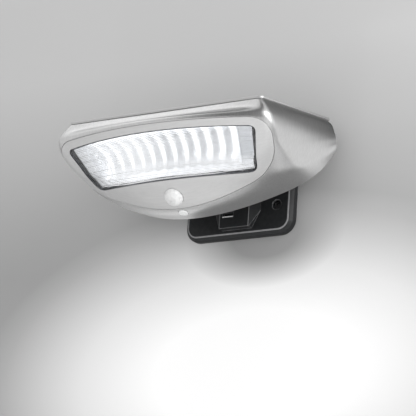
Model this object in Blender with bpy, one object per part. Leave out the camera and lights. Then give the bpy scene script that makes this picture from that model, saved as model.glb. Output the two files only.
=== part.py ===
"""A wall-mounted solar flood light, modelled as the separate pieces it is assembled from.

Metres, +Z up, +Y into the wall. The origin is the middle of the wall plate's back face.
The lamp head is drawn in a tilted frame of its own: its origin is the middle of the top rim's
front edge, its Y runs back along the top and its Z stands square to the top.
"""
import math
from collections import namedtuple

import bmesh
import bpy
import numpy as np
from mathutils import Matrix, Vector

# Fits
FIT = 0.0003                  # gap between pieces that seat on each other
SLIDE_FIT = 0.0004            # gap round pieces that slide
PAST = 0.003                  # how far a cutter stands past a thin wall
FAR_PAST = 0.012              # and past a thick one

# Wall bracket
PLATE_WIDTH = 0.142
PLATE_HEIGHT = 0.105
PLATE_DEPTH = 0.0115
PLATE_CORNER = 0.017
PLATE_BEVEL = 0.0045
PLATE_WALL = 0.0065           # rim and ribs left between the pockets of the plate's back
POCKET_DEPTH = 0.0070
POCKET_WIDTH = 0.0240
POCKET_HEIGHT = 0.0370
SCREW_SPREAD = 0.102          # between the wall screw holes, across
SCREW_RISE = 0.038            # between the wall screw holes, up
SCREW_HOLE = 0.0052
SCREW_SINK = 0.0120
NECK_WIDTH = 0.039
NECK_FOOT_WIDTH = 0.060       # where the neck's flanks meet the plate
NECK_DEPTH = 0.0080
NECK_BOTTOM = -0.0435
NECK_FLARE_LOW = -0.0385      # the flanks widen from here
NECK_FLARE_HIGH = -0.0235     # up to here
RAIL_DEPTH = 0.0147
RAIL_THROAT = 0.024
RAIL_FACE = 0.036
RAIL_BOTTOM = -0.0125
RAIL_TOP = 0.0205
SLOT_WIDTH = 0.014
SLOT_HEIGHT = 0.0052
SLOT_DEPTH = 0.0040
SLOT_LIP = 0.0010
SLOT_X = -0.0083
SLOT_BOTTOM = -0.0295

# Lamp head
HEAD_GAP = 0.0267             # wall to the rearmost edge of the head
HEAD_RISE = 0.0455            # plate middle to the rim's front edge
HEAD_TILT = math.radians(8.5)
RIM_WIDTH = 0.252
RIM_DEPTH = 0.152
RIM_OVERHANG = 0.005          # the rim's rear edge past the shell's
RIM_DROP = 0.0045             # the shell's top edge, below the head's frame
RIM_CORNER = 0.006
SHELL_WALL = 0.0016
TAIL_CORNER = 0.008
TAIL_OVERHANG = 0.0010
TAIL_DROP = 0.0400
KEEL_SETBACK = 0.0643         # rim's front edge to the lowest point, along the top
KEEL_DROP = 0.1115
EDGE_SETBACK = 0.1078         # rim's front edge to the lower edge's front corner
SHELL_DEPTH = RIM_DEPTH - RIM_OVERHANG
TAIL_SETBACK = SHELL_DEPTH + TAIL_OVERHANG
EDGE_FALL = KEEL_DROP - (KEEL_DROP - TAIL_DROP) * (
    (EDGE_SETBACK - KEEL_SETBACK) / (TAIL_SETBACK - KEEL_SETBACK))
# Wall to the rim's front edge
HEAD_REACH = HEAD_GAP + TAIL_SETBACK * math.cos(HEAD_TILT) + TAIL_DROP * math.sin(HEAD_TILT)

# The shell is a loft through these lines, from the rim down to the lower edge. On each line:
# how far its middle stands ahead of the rim and below it, how far its front corner flares
# past the rim, stands behind the rim's front edge and lies below the rim, how far its rear
# corner flares, overhangs and drops, and the radius of the front corner.
Line = namedtuple("Line", "reach drop flare setback fall tail_flare overhang tail_drop radius")
RIM = Line(0.0000, RIM_DROP, 0.0000, 0.0000, RIM_DROP, 0.0000, 0.0000, RIM_DROP, RIM_CORNER)
COVE = Line(0.0080, 0.0100, 0.0065, -0.0048, 0.0105, 0.0060, 0.0005, 0.0085, 0.007)
NOSE = Line(0.0385, 0.0195, 0.0114, -0.0065, 0.0200, 0.0081, 0.0010, 0.0150, 0.008)
LENS_TOP = Line(0.0316, 0.0290, 0.0129, -0.0021, 0.0318, 0.0094, 0.0015, 0.0190, 0.009)
BELLY = Line(0.0170, 0.0480, 0.0084, 0.0114, 0.0496, 0.0105, 0.0020, 0.0225, 0.012)
LENS_FOOT = Line(0.0010, 0.0690, 0.0035, 0.0285, 0.0668, 0.0110, 0.0020, 0.0260, 0.028)
CHIN = Line(-0.0170, 0.0890, 0.0008, 0.0466, 0.0752, 0.0115, 0.0018, 0.0290, 0.029)
TURN = Line(-0.0370, 0.1075, 0.0004, 0.0721, 0.0761, 0.0110, 0.0015, 0.0330, 0.032)
EDGE = Line(-KEEL_SETBACK, KEEL_DROP, 0.0012, EDGE_SETBACK, EDGE_FALL,
            0.0064, TAIL_OVERHANG, TAIL_DROP, 0.024)
SHELL_LINES = (RIM, COVE, NOSE, LENS_TOP, BELLY, LENS_FOOT, CHIN, TURN, EDGE)
ROWS_BETWEEN_LINES = (2, 2, 1, 2, 2, 2, 2, 2)
FRONT_STEPS = 7
CORNER_STEPS = 3
SIDE_STEPS = 4
TAIL_STEPS = 2
BACK_STEPS = 2
NOSE_LINE = SHELL_LINES.index(NOSE)
LENS_TOP_LINE = SHELL_LINES.index(LENS_TOP)
PAST_NOSE = 0.7               # the front's own surface is carried this part of a row past the nose

# Outlines on the sloping front, seen square to it: distances down the slope from the level of
# the rim's front edge, and half-widths
FACE_SLOPE = math.radians(46.2)
FACE_FLOOR = 0.010            # the outlines are carried square to the slope from this height
FACE_CEILING = 0.070          # to this one, past the whole front
Outline = namedtuple("Outline", "top shoulder_x shoulder foot_x foot bottom bulge r_shoulder r_foot")
FASCIA = Outline(-0.0102, 0.1375, 0.0132, 0.1150, 0.0800, 0.0986, 0.0050, 0.022, 0.024)
LENS = Outline(-0.0009, 0.1222, 0.0183, 0.1025, 0.0746, 0.0600, 0.0000, 0.005, 0.008)
OUTLINE_STEPS = 5
ROUND_STEPS = 4
FASCIA_WALL = 0.0024
SEAM = 0.0007                 # open joint between the fascia and the shell
FASCIA_FLANGE = 0.0019
FLANGE_WALL = 0.0015
LENS_RECESS = 0.0004
LENS_WALL = 0.0026
LENS_SKIRT = 0.0024
LENS_FLANGE = 0.0035
LENS_SEAL = 0.0008
REFLECTOR_GAP = 0.0008        # clear of the facets of the lens's curved back
REFLECTOR_WALL = 0.0012
REFLECTOR_DEPTH = 0.0120       # at the trough's ends
REFLECTOR_SAG = 0.0060        # how much deeper it lies in the middle
REFLECTOR_TOP = LENS_TOP_LINE + 0.14
REFLECTOR_FOOT = LENS_TOP_LINE + 2.26
REFLECTOR_HALF_TOP = 0.1026   # half of the fluted width along the trough's top
REFLECTOR_HALF_FOOT = 0.0906  # and along its foot
REFLECTOR_BRIM = 0.96         # part of the front's half-width that the flat brim reaches
END_WALL = 0.06               # part of the half-width over which the trough's ends rise
# Rows of the trough, from the top of the brim to its foot
TROUGH_ROWS = (-0.14, 0.0, 0.06, 0.25, 0.5, 0.75, 0.94, 1.0, 1.14)
FLUTE_DEPTH = 0.0022
FLUTES = 12
FLUTE_COLUMNS = 2             # mesh columns in each flute
LED_RADIUS = 0.0025
LED_HEIGHT = 0.0056
LED_CROWN = 0.0015
LED_LINE = 0.62               # place of the row of lamps across the reflector, from its top
LED_BOARD_WALL = 0.0012
LED_BOARD_HALF = 0.10         # half of the strip's width, as a part of the reflector's height

# Motion sensor and button, on the chin below the lens
PIR_LINE = SHELL_LINES.index(CHIN) + 0.21    # a line and a part of the way to the next
PIR_RADIUS = 0.0108
PIR_RISE = 0.0085
PIR_WALL = 0.0012
PIR_FLANGE = 0.0020
DOME_GAP = 0.0009             # back of the curved fascia to the dome's flat flange
DOME_STEPS = 5
BUTTON_LINE = SHELL_LINES.index(TURN) + 0.10
BUTTON_WIDTH = 0.0108
BUTTON_HEIGHT = 0.0098
BUTTON_PROUD = 0.0012
BUTTON_CROWN = 0.0007
BUTTON_FLANGE = 0.0009
BUTTON_FLANGE_WALL = 0.0010
BUTTON_SEAT = 0.0030          # front of the shell to the flange, clear of the curved wall
BUTTON_TRAVEL = 0.0012
BUTTON_STEM = 0.0015
BOARD_WALL = 0.0016
SENSOR_BOARD_SIZE = 0.026
SENSOR_BOARD_BACK = 0.0115    # front of the chin to the sensor board
SWITCH_BOARD_WIDTH = 0.016
SWITCH_BOARD_HEIGHT = 0.010
SENSOR_CAN_RADIUS = 0.0046
SENSOR_CAN_HEIGHT = 0.0045
SWITCH_SIZE = 0.0060
SWITCH_BODY = 0.0034
SWITCH_PLUNGER = 0.00175
SWITCH_KNOB = 0.0007

# Solar panel in the top
FRAME_TOP = 0.0014
PANEL_CORNER = 0.003
FRAME_LIP = 0.0012
FRAME_BEAD = 0.0004           # the lip stands this much above the frame
FRAME_LIP_WIDTH = 0.0050
FRAME_WALL = 0.0067
GASKET_WALL = 0.0010
GASKET_WIDTH = 0.0055
GASKET_INSET = 0.0008
GLASS_WALL = 0.0025
CELL_WALL = 0.0005
CELL_MARGIN = 0.004
CELL_COLUMNS = 6
CELL_GROOVE = 0.0012
BACKSHEET_WALL = 0.0008
TRAY_WALL = 0.0024
TRAY_RIB = 0.0050
TRAY_RIBS = 3
RIB_CLEAR = 0.0030            # ends of the ribs to the screw bosses
BOARD_WIDTH = 0.064
BOARD_DEPTH = 0.044
BOARD_DROP = 0.0085           # underside of the tray to the control board
BOARD_BACK = 0.060            # rim's front edge to the control board
POST_RADIUS = 0.0028
Can = namedtuple("Can", "name x y radius height")
CHARGE_COIL = Can("charge_coil", -0.018, 0.014, 0.0045, 0.0060)
RESERVOIR = Can("reservoir", 0.004, 0.012, 0.0040, 0.0095)
CHIP_X = 0.012
CHIP_Y = 0.022
CHIP_SIZE = 0.010
CHIP_WALL = 0.0022

# Rear of the head
COVER_WALL = 0.0022
COVER_RECESS = 0.0010
HOUSING_WIDTH = 0.116
HOUSING_GAP = 0.0047          # front of the neck to the back of the housing
HOUSING_TOP = 0.0225
HOUSING_BOTTOM = -0.0105
DOCK_WIDTH = 0.048
DOCK_WALL = 0.0045
DOOR_WIDTH = 0.058
DOOR_HEIGHT = 0.044
DOOR_UP = 0.036               # keel to the middle of the door, along the cover
CELL_RADIUS = 0.0071
CELL_LENGTH = 0.050
CELL_PITCH = 0.0150
CELL_CLEAR = 0.0010           # door to the cells
CELLS = 3
HOLDER_WALL = 0.0015
HOLDER_END = 0.0025
CONTACT_WALL = 0.0010
BOSS_RADIUS = 0.0040
BOSS_SPREAD = 0.190
BOSS_UP = 0.090
RIB_HALF = BOSS_SPREAD / 2 - BOSS_RADIUS - RIB_CLEAR

RIM_HALF = RIM_WIDTH / 2
PLATE_FRONT = -PLATE_DEPTH
NECK_FRONT = PLATE_FRONT - NECK_DEPTH
HOUSING_BACK = NECK_FRONT - HOUSING_GAP
SHELL_TOP = -SHELL_LINES[0].drop


# Scene and object helpers

for old in list(bpy.data.objects):
    bpy.data.objects.remove(old, do_unlink=True)

PARTS = bpy.data.collections.new("solar_flood_light")
CUTTERS = bpy.data.collections.new("cutters")
bpy.context.scene.collection.children.link(PARTS)
bpy.context.scene.collection.children.link(CUTTERS)

HEAD = bpy.data.objects.new("head_frame", None)
HEAD.location = (0, -HEAD_REACH, HEAD_RISE)
HEAD.rotation_euler = (HEAD_TILT, 0, 0)
PARTS.objects.link(HEAD)
HEAD_MATRIX = Matrix.Translation(HEAD.location) @ Matrix.Rotation(HEAD_TILT, 4, "X")


def material(name, colour, roughness, metallic=0.0, transmission=0.0):
    made = bpy.data.materials.new(name)
    made.use_nodes = True
    shader = made.node_tree.nodes["Principled BSDF"]
    shader.inputs["Base Color"].default_value = (*colour, 1)
    shader.inputs["Roughness"].default_value = roughness
    shader.inputs["Metallic"].default_value = metallic
    shader.inputs["Transmission Weight"].default_value = transmission
    return made


def mesh_from(bm, name):
    bmesh.ops.recalc_face_normals(bm, faces=bm.faces)
    mesh = bpy.data.meshes.new(name)
    bm.to_mesh(mesh)
    bm.free()
    return mesh


def piece(name, mesh, look, parent=HEAD):
    """A finished sub-part, drawn in the head's frame unless another parent is given."""
    made = bpy.data.objects.new(name, mesh)
    made.parent = parent
    mesh.materials.append(look)
    mesh.shade_smooth()
    mesh.set_sharp_from_angle(angle=math.radians(32))
    PARTS.objects.link(made)
    return made


def cutter(name, mesh, parent=HEAD):
    made = bpy.data.objects.new(name, mesh)
    made.parent = parent
    made.hide_render = True
    made.display_type = "WIRE"
    CUTTERS.objects.link(made)
    return made


def combine(target, operation, other):
    step = target.modifiers.new(other.name, "BOOLEAN")
    step.operation = operation
    step.solver = "EXACT"
    step.object = other


def box(name, low, high):
    bm = bmesh.new()
    middle = (Vector(low) + Vector(high)) / 2
    size = Vector(high) - Vector(low)
    place = Matrix.Translation(middle) @ Matrix.Diagonal((*size, 1))
    bmesh.ops.create_cube(bm, size=1, matrix=place)
    return mesh_from(bm, name)


def cylinder(name, place, radius, low, high, segments=20, top_radius=None):
    """A round bar along the local Z of place, from low to high."""
    bm = bmesh.new()
    middle = Matrix.Translation((0, 0, (low + high) / 2))
    bmesh.ops.create_cone(bm, cap_ends=True, segments=segments, radius1=radius,
                          radius2=radius if top_radius is None else top_radius,
                          depth=high - low, matrix=place @ middle)
    return mesh_from(bm, name)


def prism(name, place, outline, low, high):
    """A flat outline in the XY plane of place, carried along its Z from low to high."""
    bm = bmesh.new()
    face = bm.faces.new([bm.verts.new((x, y, low)) for x, y in outline])
    grown = bmesh.ops.extrude_face_region(bm, geom=[face])
    moved = [item for item in grown["geom"] if isinstance(item, bmesh.types.BMVert)]
    bmesh.ops.translate(bm, verts=moved, vec=(0, 0, high - low))
    bmesh.ops.transform(bm, matrix=place, verts=bm.verts)
    return mesh_from(bm, name)


def rounded_rectangle(width, depth, radius, centre=(0, 0), steps=4):
    corners = ((1, 1, 0), (-1, 1, 90), (-1, -1, 180), (1, -1, 270))
    points = []
    for side_x, side_y, start in corners:
        for step in range(steps + 1):
            angle = math.radians(start + 90 * step / steps)
            x = centre[0] + side_x * (width / 2 - radius) + radius * math.cos(angle)
            y = centre[1] + side_y * (depth / 2 - radius) + radius * math.sin(angle)
            points.append((x, y))
    return points


def ring(name, outer, inner, low, high, place=Matrix()):
    """A flat ring between two outlines of equal point count."""
    bm = bmesh.new()
    loops = [[bm.verts.new((x, y, z)) for x, y in outline]
             for outline, z in ((outer, low), (outer, high), (inner, high), (inner, low))]
    count = len(outer)
    for first, second in zip(loops, loops[1:] + loops[:1]):
        for i in range(count):
            bm.faces.new((first[i], first[(i + 1) % count], second[(i + 1) % count], second[i]))
    bmesh.ops.transform(bm, matrix=place, verts=bm.verts)
    return mesh_from(bm, name)


def spun(name, place, profile, segments=20):
    """A profile of (radius, height) points, run down its outer side, turned about Z."""
    bm = bmesh.new()
    verts = [bm.verts.new((radius, 0, height)) for radius, height in profile]
    edges = [bm.edges.new((a, b)) for a, b in zip(verts, verts[1:])]
    if profile[0][0] > 0:
        edges.append(bm.edges.new((verts[-1], verts[0])))
    bmesh.ops.spin(bm, geom=verts + edges, cent=(0, 0, 0), axis=(0, 0, 1), angle=math.tau,
                   steps=segments, use_merge=True)
    bmesh.ops.remove_doubles(bm, verts=bm.verts, dist=1e-7)
    bmesh.ops.transform(bm, matrix=place, verts=bm.verts)
    return mesh_from(bm, name)


# The shell's surface

def arc(start, control, end, part):
    """A point on the round corner that leaves start, bends at control and reaches end."""
    return (1 - part) ** 2 * start + 2 * part * (1 - part) * control + part ** 2 * end


def line_points(line):
    """Half of one loft line, from the middle of the front round to the middle of the back."""
    corner_x = RIM_HALF + line.flare
    tail_x = RIM_HALF + line.tail_flare
    tail_y = SHELL_DEPTH + line.overhang
    corner = np.array((corner_x, line.setback, -line.fall))
    tail = np.array((tail_x, tail_y, -line.tail_drop))
    back = np.array((0, tail_y, -line.tail_drop))

    def front(part):
        y = -line.reach + (line.setback + line.reach) * part ** 2
        z = -line.drop + (line.drop - line.fall) * part ** 2
        return np.array((corner_x * part, y, z))

    front_end = 1 - line.radius / corner_x
    side_length = np.linalg.norm(tail - corner)
    side_start = corner + (tail - corner) * line.radius / side_length
    side_end = tail - (tail - corner) * TAIL_CORNER / side_length
    back_start = tail + (back - tail) * TAIL_CORNER / tail_x
    points = [front(front_end * i / FRONT_STEPS) for i in range(FRONT_STEPS + 1)]
    for i in range(1, CORNER_STEPS + 1):
        points.append(arc(points[FRONT_STEPS], corner, side_start, i / CORNER_STEPS))
    for i in range(1, SIDE_STEPS + 1):
        points.append(side_start + (side_end - side_start) * i / SIDE_STEPS)
    for i in range(1, TAIL_STEPS + 1):
        points.append(arc(side_end, tail, back_start, i / TAIL_STEPS))
    for i in range(1, BACK_STEPS + 1):
        points.append(back_start + (back - back_start) * i / BACK_STEPS)
    return np.array(points)


def between(lines, place):
    """A smooth curve through the loft lines, read at a place such as 2.5."""
    last = len(lines) - 1
    first = min(int(place), last - 1)
    part = place - first
    before = lines[first - 1] if first else 2 * lines[0] - lines[1]
    after = lines[first + 2] if first + 2 <= last else 2 * lines[last] - lines[last - 1]
    p1, p2 = lines[first], lines[first + 1]
    span = np.linalg.norm(p2 - p1, axis=-1, keepdims=True)
    lead = np.linalg.norm(p1 - before, axis=-1, keepdims=True)
    tail = np.linalg.norm(after - p2, axis=-1, keepdims=True)
    slope_1 = span * ((p1 - before) / lead + (p2 - p1) / span) / 2
    slope_2 = span * ((p2 - p1) / span + (after - p2) / tail) / 2
    a, b = part ** 2, part ** 3
    return ((2 * b - 3 * a + 1) * p1 + (b - 2 * a + part) * slope_1
            + (3 * a - 2 * b) * p2 + (b - a) * slope_2)


def row_places():
    places = [0.0]
    for line, count in enumerate(ROWS_BETWEEN_LINES):
        places += [line + (i + 1) / count for i in range(count)]
    return places


def mirrored(half, closed):
    """Whole rows from right-hand halves; a closed row runs all the way round."""
    left = half[:, 1:-1] if closed else half[:, 1:]
    left = left[:, ::-1] * np.array((-1, 1, 1))
    return np.concatenate((left, half), axis=1)


def outward(rows, closed):
    """The outward direction at each point of the rows."""
    across = np.gradient(rows, axis=1)
    if closed:
        across = (np.roll(rows, -1, axis=1) - np.roll(rows, 1, axis=1)) / 2
    down = np.gradient(rows, axis=0)
    square = np.cross(down, across)
    return square / np.linalg.norm(square, axis=-1, keepdims=True)


HALF_LINES = np.array([line_points(line) for line in SHELL_LINES])
HALF_ROWS = np.array([between(HALF_LINES, place) for place in row_places()])
SKIN = mirrored(HALF_ROWS, closed=True)
SKIN_OUT = outward(SKIN, closed=True)
FRONT_COLUMNS = FRONT_STEPS + CORNER_STEPS + 2
NOSE_ROW = sum(ROWS_BETWEEN_LINES[:NOSE_LINE])
MIDDLE = HALF_ROWS.shape[1] - 2
FACE_COLUMNS = slice(MIDDLE - FRONT_COLUMNS, MIDDLE + FRONT_COLUMNS + 1)
FACE = SKIN[NOSE_ROW:, FACE_COLUMNS]
BROW = SKIN[NOSE_ROW - 1:, FACE_COLUMNS]
BROW_OUT = SKIN_OUT[NOSE_ROW - 1:, FACE_COLUMNS]
FACE = np.concatenate(([FACE[0] + (FACE[0] - FACE[1]) * PAST_NOSE], FACE))
FACE_OUT = outward(FACE, closed=False)


def slab(name, front, back, closed=False):
    """A closed solid between two like grids of points; a closed one runs round as a tube.

    The faces are split into triangles, mirrored about the middle, so that layers cut from the
    same loft stay parallel.
    """
    bm = bmesh.new()
    rows, columns = front.shape[:2]
    grids = [[[bm.verts.new(point) for point in row] for row in grid] for grid in (front, back)]
    middle = columns // 2 - 1 if closed else columns // 2

    def quad(a, b, c, d, left):
        first, second = ((a, b, c), (a, c, d)) if left else ((a, b, d), (b, c, d))
        bm.faces.new(first)
        bm.faces.new(second)

    for j in range(columns if closed else columns - 1):
        k = (j + 1) % columns
        for i in range(rows - 1):
            for grid in grids:
                quad(grid[i][j], grid[i + 1][j], grid[i + 1][k], grid[i][k], j < middle)
        for i in (0, rows - 1):
            quad(grids[0][i][j], grids[0][i][k], grids[1][i][k], grids[1][i][j], j < middle)
    if not closed:
        for j in (0, columns - 1):
            for i in range(rows - 1):
                quad(grids[0][i][j], grids[0][i + 1][j], grids[1][i + 1][j], grids[1][i][j], j == 0)
    return mesh_from(bm, name)


def face_layer(name, outer, inner):
    """A layer of the sloping front between two depths behind its surface."""
    return slab(name, FACE - FACE_OUT * outer, FACE - FACE_OUT * inner)


FACE_PLACE = Matrix((
    (1, 0, 0, 0),
    (0, -math.cos(FACE_SLOPE), -math.sin(FACE_SLOPE), 0),
    (0, math.sin(FACE_SLOPE), -math.cos(FACE_SLOPE), 0),
    (0, 0, 0, 1)))


def face_outline(shape, grow=0.0):
    """A shield outline with arched top and bottom edges, grown outwards all round."""
    shoulder = np.array((shape.shoulder_x, shape.shoulder))
    foot = np.array((shape.foot_x, shape.foot))

    def top(part):
        return np.array((shoulder[0] * part, shape.top + (shoulder[1] - shape.top) * part ** 2))

    def bottom(part):
        return np.array((foot[0] * part, shape.bottom + (foot[1] - shape.bottom) * part ** 2))

    def side(part):
        out = np.array((4 * shape.bulge * part * (1 - part), 0))
        return shoulder + (foot - shoulder) * part + out

    length = np.linalg.norm(foot - shoulder)
    top_end = 1 - shape.r_shoulder / shoulder[0]
    bottom_start = 1 - shape.r_foot / foot[0]
    leave, arrive = shape.r_shoulder / length, 1 - shape.r_foot / length
    long, short = OUTLINE_STEPS, ROUND_STEPS
    half = [top(top_end * i / long) for i in range(long + 1)]
    half += [arc(top(top_end), shoulder, side(leave), i / short) for i in range(1, short + 1)]
    half += [side(leave + (arrive - leave) * i / short) for i in range(1, short)]
    half += [arc(side(arrive), foot, bottom(bottom_start), i / short) for i in range(short + 1)]
    half += [bottom(bottom_start * (1 - i / long)) for i in range(1, long + 1)]
    loop = half + [np.array((-x, down)) for x, down in reversed(half[1:-1])]
    loop = np.array(loop)
    ahead = np.roll(loop, -1, axis=0) - np.roll(loop, 1, axis=0)
    ahead /= np.linalg.norm(ahead, axis=1, keepdims=True)
    loop = loop + grow * np.stack((ahead[:, 1], -ahead[:, 0]), axis=1)
    return [(x, -down) for x, down in loop]


def face_cutter(name, shape, grow=0.0):
    outline = face_outline(shape, grow)
    return cutter(name, prism(name, FACE_PLACE, outline, FACE_FLOOR, FACE_CEILING))


def chin_place(line):
    """A frame on the middle of the front at a place on the loft: Y up the slope, Z outwards."""
    column = HALF_LINES[:, 0]
    here = between(column, line)
    step = between(column, line + 0.02) - between(column, line - 0.02)
    up = Vector(-step).normalized()
    out = Vector((1, 0, 0)).cross(up)
    place = Matrix((Vector((1, 0, 0)), up, out)).transposed().to_4x4()
    place.translation = Vector(here)
    return place


# The slanting rear cover's frame: origin at the keel, Y up the cover, Z into the head
KEEL = Vector((0, KEEL_SETBACK, -KEEL_DROP))
TAIL = Vector((0, TAIL_SETBACK, -TAIL_DROP))
COVER_UP = (TAIL - KEEL).normalized()
COVER_IN = Vector((1, 0, 0)).cross(COVER_UP)
COVER_PLACE = Matrix((Vector((1, 0, 0)), COVER_UP, COVER_IN)).transposed().to_4x4()
COVER_PLACE.translation = KEEL


def cover_box(name, x, low_up, high_up, low_in, high_in):
    made = box(name, (-x, low_up, low_in), (x, high_up, high_in))
    made.transform(COVER_PLACE)
    return made


# Wall bracket

def wall_bracket():
    look = material("black_plastic", (0.030, 0.031, 0.033), 0.45)
    upright = Matrix.Rotation(math.radians(90), 4, "X")
    outline = rounded_rectangle(PLATE_WIDTH, PLATE_HEIGHT, PLATE_CORNER)
    mesh = prism("wall_bracket", upright, outline, 0, PLATE_DEPTH)
    bm = bmesh.new()
    bm.from_mesh(mesh)
    front = [edge for edge in bm.edges if all(v.co.y < PLATE_FRONT / 2 for v in edge.verts)]
    bmesh.ops.bevel(bm, geom=front, offset=PLATE_BEVEL, segments=2, profile=0.5,
                    affect="EDGES", clamp_overlap=True)
    bm.to_mesh(mesh)
    bm.free()
    bracket = piece("wall_bracket", mesh, look, parent=None)
    combine(bracket, "UNION", neck())
    combine(bracket, "UNION", rail())
    combine(bracket, "UNION", slot_lip())
    combine(bracket, "DIFFERENCE", slot())
    for side in (-1, 1):
        for end in (-1, 1):
            screw_hole(bracket, side, end)
            back_pocket(bracket, side, end)
    return bracket


def neck():
    """The plinth of the rail: a straight front and flanks that fan out to the plate."""
    bm = bmesh.new()
    root = PLATE_FRONT + PLATE_BEVEL / 2
    for side in (-1, 1):
        for height in (NECK_BOTTOM, RAIL_TOP):
            bm.verts.new((side * NECK_WIDTH / 2, NECK_FRONT, height))
        for height, width in ((NECK_BOTTOM, NECK_WIDTH), (NECK_FLARE_LOW, NECK_WIDTH),
                              (NECK_FLARE_HIGH, NECK_FOOT_WIDTH), (RAIL_TOP, NECK_FOOT_WIDTH)):
            bm.verts.new((side * width / 2, root, height))
            bm.verts.new((side * width / 2, PLATE_FRONT, height))
    bmesh.ops.convex_hull(bm, input=bm.verts)
    bmesh.ops.dissolve_limit(bm, angle_limit=math.radians(1), verts=bm.verts, edges=bm.edges)
    return cutter("neck", mesh_from(bm, "neck"), parent=None)


def rail_outline(gap=0.0, root=NECK_DEPTH / 2):
    """The dovetail's section, seen from above, grown by a gap."""
    tip = NECK_FRONT - RAIL_DEPTH
    lean = (RAIL_FACE - RAIL_THROAT) / 2 / RAIL_DEPTH
    near = RAIL_THROAT / 2 - lean * root + gap
    far = RAIL_FACE / 2 + gap
    return [(-near, NECK_FRONT + root), (near, NECK_FRONT + root),
            (far, tip - gap), (-far, tip - gap)]


def rail():
    return cutter("rail", prism("rail", Matrix(), rail_outline(), RAIL_BOTTOM, RAIL_TOP - FIT),
                  parent=None)


def slot():
    low = (SLOT_X - SLOT_WIDTH / 2, NECK_FRONT - SLOT_DEPTH, SLOT_BOTTOM)
    high = (SLOT_X + SLOT_WIDTH / 2, NECK_FRONT + SLOT_DEPTH, SLOT_BOTTOM + SLOT_HEIGHT)
    return cutter("slot", box("slot", low, high), parent=None)


def slot_lip():
    low = (SLOT_X - SLOT_WIDTH / 2, NECK_FRONT - SLOT_LIP, SLOT_BOTTOM - SLOT_LIP)
    high = (SLOT_X + SLOT_WIDTH / 2, NECK_FRONT + SLOT_DEPTH / 2, SLOT_BOTTOM)
    return cutter("slot_lip", box("slot_lip", low, high), parent=None)


def screw_hole(bracket, side, end):
    """A countersunk hole, open at both faces of the plate."""
    name = f"screw_hole_{side}_{end}"
    centre = Matrix.Translation((side * SCREW_SPREAD / 2, 0, end * SCREW_RISE / 2))
    place = centre @ Matrix.Rotation(math.radians(90), 4, "X")
    bore, sink = SCREW_HOLE / 2, SCREW_SINK / 2
    past = PLATE_DEPTH / 2
    profile = [(0, PLATE_DEPTH + past), (sink, PLATE_DEPTH + past), (sink, PLATE_DEPTH),
               (bore, PLATE_DEPTH - (sink - bore)), (bore, -past), (0, -past)]
    combine(bracket, "DIFFERENCE", cutter(name, spun(name, place, profile, 16), parent=None))


def back_pocket(bracket, side, end):
    name = f"back_pocket_{side}_{end}"
    x = side * (POCKET_WIDTH + PLATE_WALL) / 2
    z = end * (POCKET_HEIGHT + PLATE_WALL) / 2
    low = (x - POCKET_WIDTH / 2, -POCKET_DEPTH, z - POCKET_HEIGHT / 2)
    high = (x + POCKET_WIDTH / 2, POCKET_DEPTH, z + POCKET_HEIGHT / 2)
    combine(bracket, "DIFFERENCE", cutter(name, box(name, low, high), parent=None))


# Shell and front

def shell():
    look = material("brushed_steel", (0.58, 0.58, 0.585), 0.30, metallic=1.0)
    mesh = slab("shell", SKIN, SKIN - SKIN_OUT * SHELL_WALL, closed=True)
    made = piece("shell", mesh, look)
    opening = cutter("fascia_opening", face_layer("fascia_opening", -PAST, 2 * SHELL_WALL))
    combine(opening, "INTERSECT", face_cutter("fascia_opening_outline", FASCIA))
    combine(made, "DIFFERENCE", opening)
    outline = oval(BUTTON_WIDTH + 2 * SLIDE_FIT, BUTTON_HEIGHT + 2 * SLIDE_FIT)
    hole = prism("button_hole", chin_place(BUTTON_LINE), outline, -SHELL_WALL - PAST, PAST)
    combine(made, "DIFFERENCE", cutter("button_hole", hole))
    return made


def oval(width, height, steps=20):
    turns = [math.tau * i / steps for i in range(steps)]
    return [(width / 2 * math.cos(turn), height / 2 * math.sin(turn)) for turn in turns]


FLANGE_FRONT = SHELL_WALL + FIT
SEAL_FRONT = FASCIA_WALL + FIT
FLANGE_SEAT = SEAL_FRONT + LENS_SEAL + FIT
LENS_BACK = FLANGE_SEAT + FLANGE_WALL
REFLECTOR_SEAT = LENS_BACK + REFLECTOR_GAP


def fascia():
    """The satin panel in the shell's opening, with a flange behind the opening's edge."""
    look = material("satin_silver_plastic", (0.55, 0.55, 0.55), 0.42, metallic=0.4)
    made = piece("fascia", face_layer("fascia", 0, FLANGE_FRONT + FLANGE_WALL), look)
    combine(made, "INTERSECT", face_cutter("fascia_outline", FASCIA, FASCIA_FLANGE))
    step = cutter("fascia_step", slab("fascia_step", BROW + BROW_OUT * SHELL_WALL,
                                      BROW - BROW_OUT * FLANGE_FRONT))
    combine(step, "DIFFERENCE", face_cutter("fascia_panel", FASCIA, -SEAM))
    combine(made, "DIFFERENCE", step)
    hollow = cutter("fascia_hollow", face_layer("fascia_hollow", FASCIA_WALL, FASCIA_WALL + PAST))
    combine(hollow, "INTERSECT", face_cutter("fascia_hollow_outline", FASCIA, -FASCIA_FLANGE))
    combine(made, "DIFFERENCE", hollow)
    combine(made, "DIFFERENCE", face_cutter("lens_opening", LENS))
    dome_hole = cylinder("dome_hole", chin_place(PIR_LINE), PIR_RADIUS + FIT, -FAR_PAST, PAST)
    combine(made, "DIFFERENCE", cutter("dome_hole", dome_hole))
    room = BUTTON_FLANGE + 2 * SLIDE_FIT
    outline = oval(BUTTON_WIDTH + 2 * room, BUTTON_HEIGHT + 2 * room)
    notch = prism("button_notch", chin_place(BUTTON_LINE), outline, -FAR_PAST, PAST)
    combine(made, "DIFFERENCE", cutter("button_notch", notch))
    return made


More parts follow.
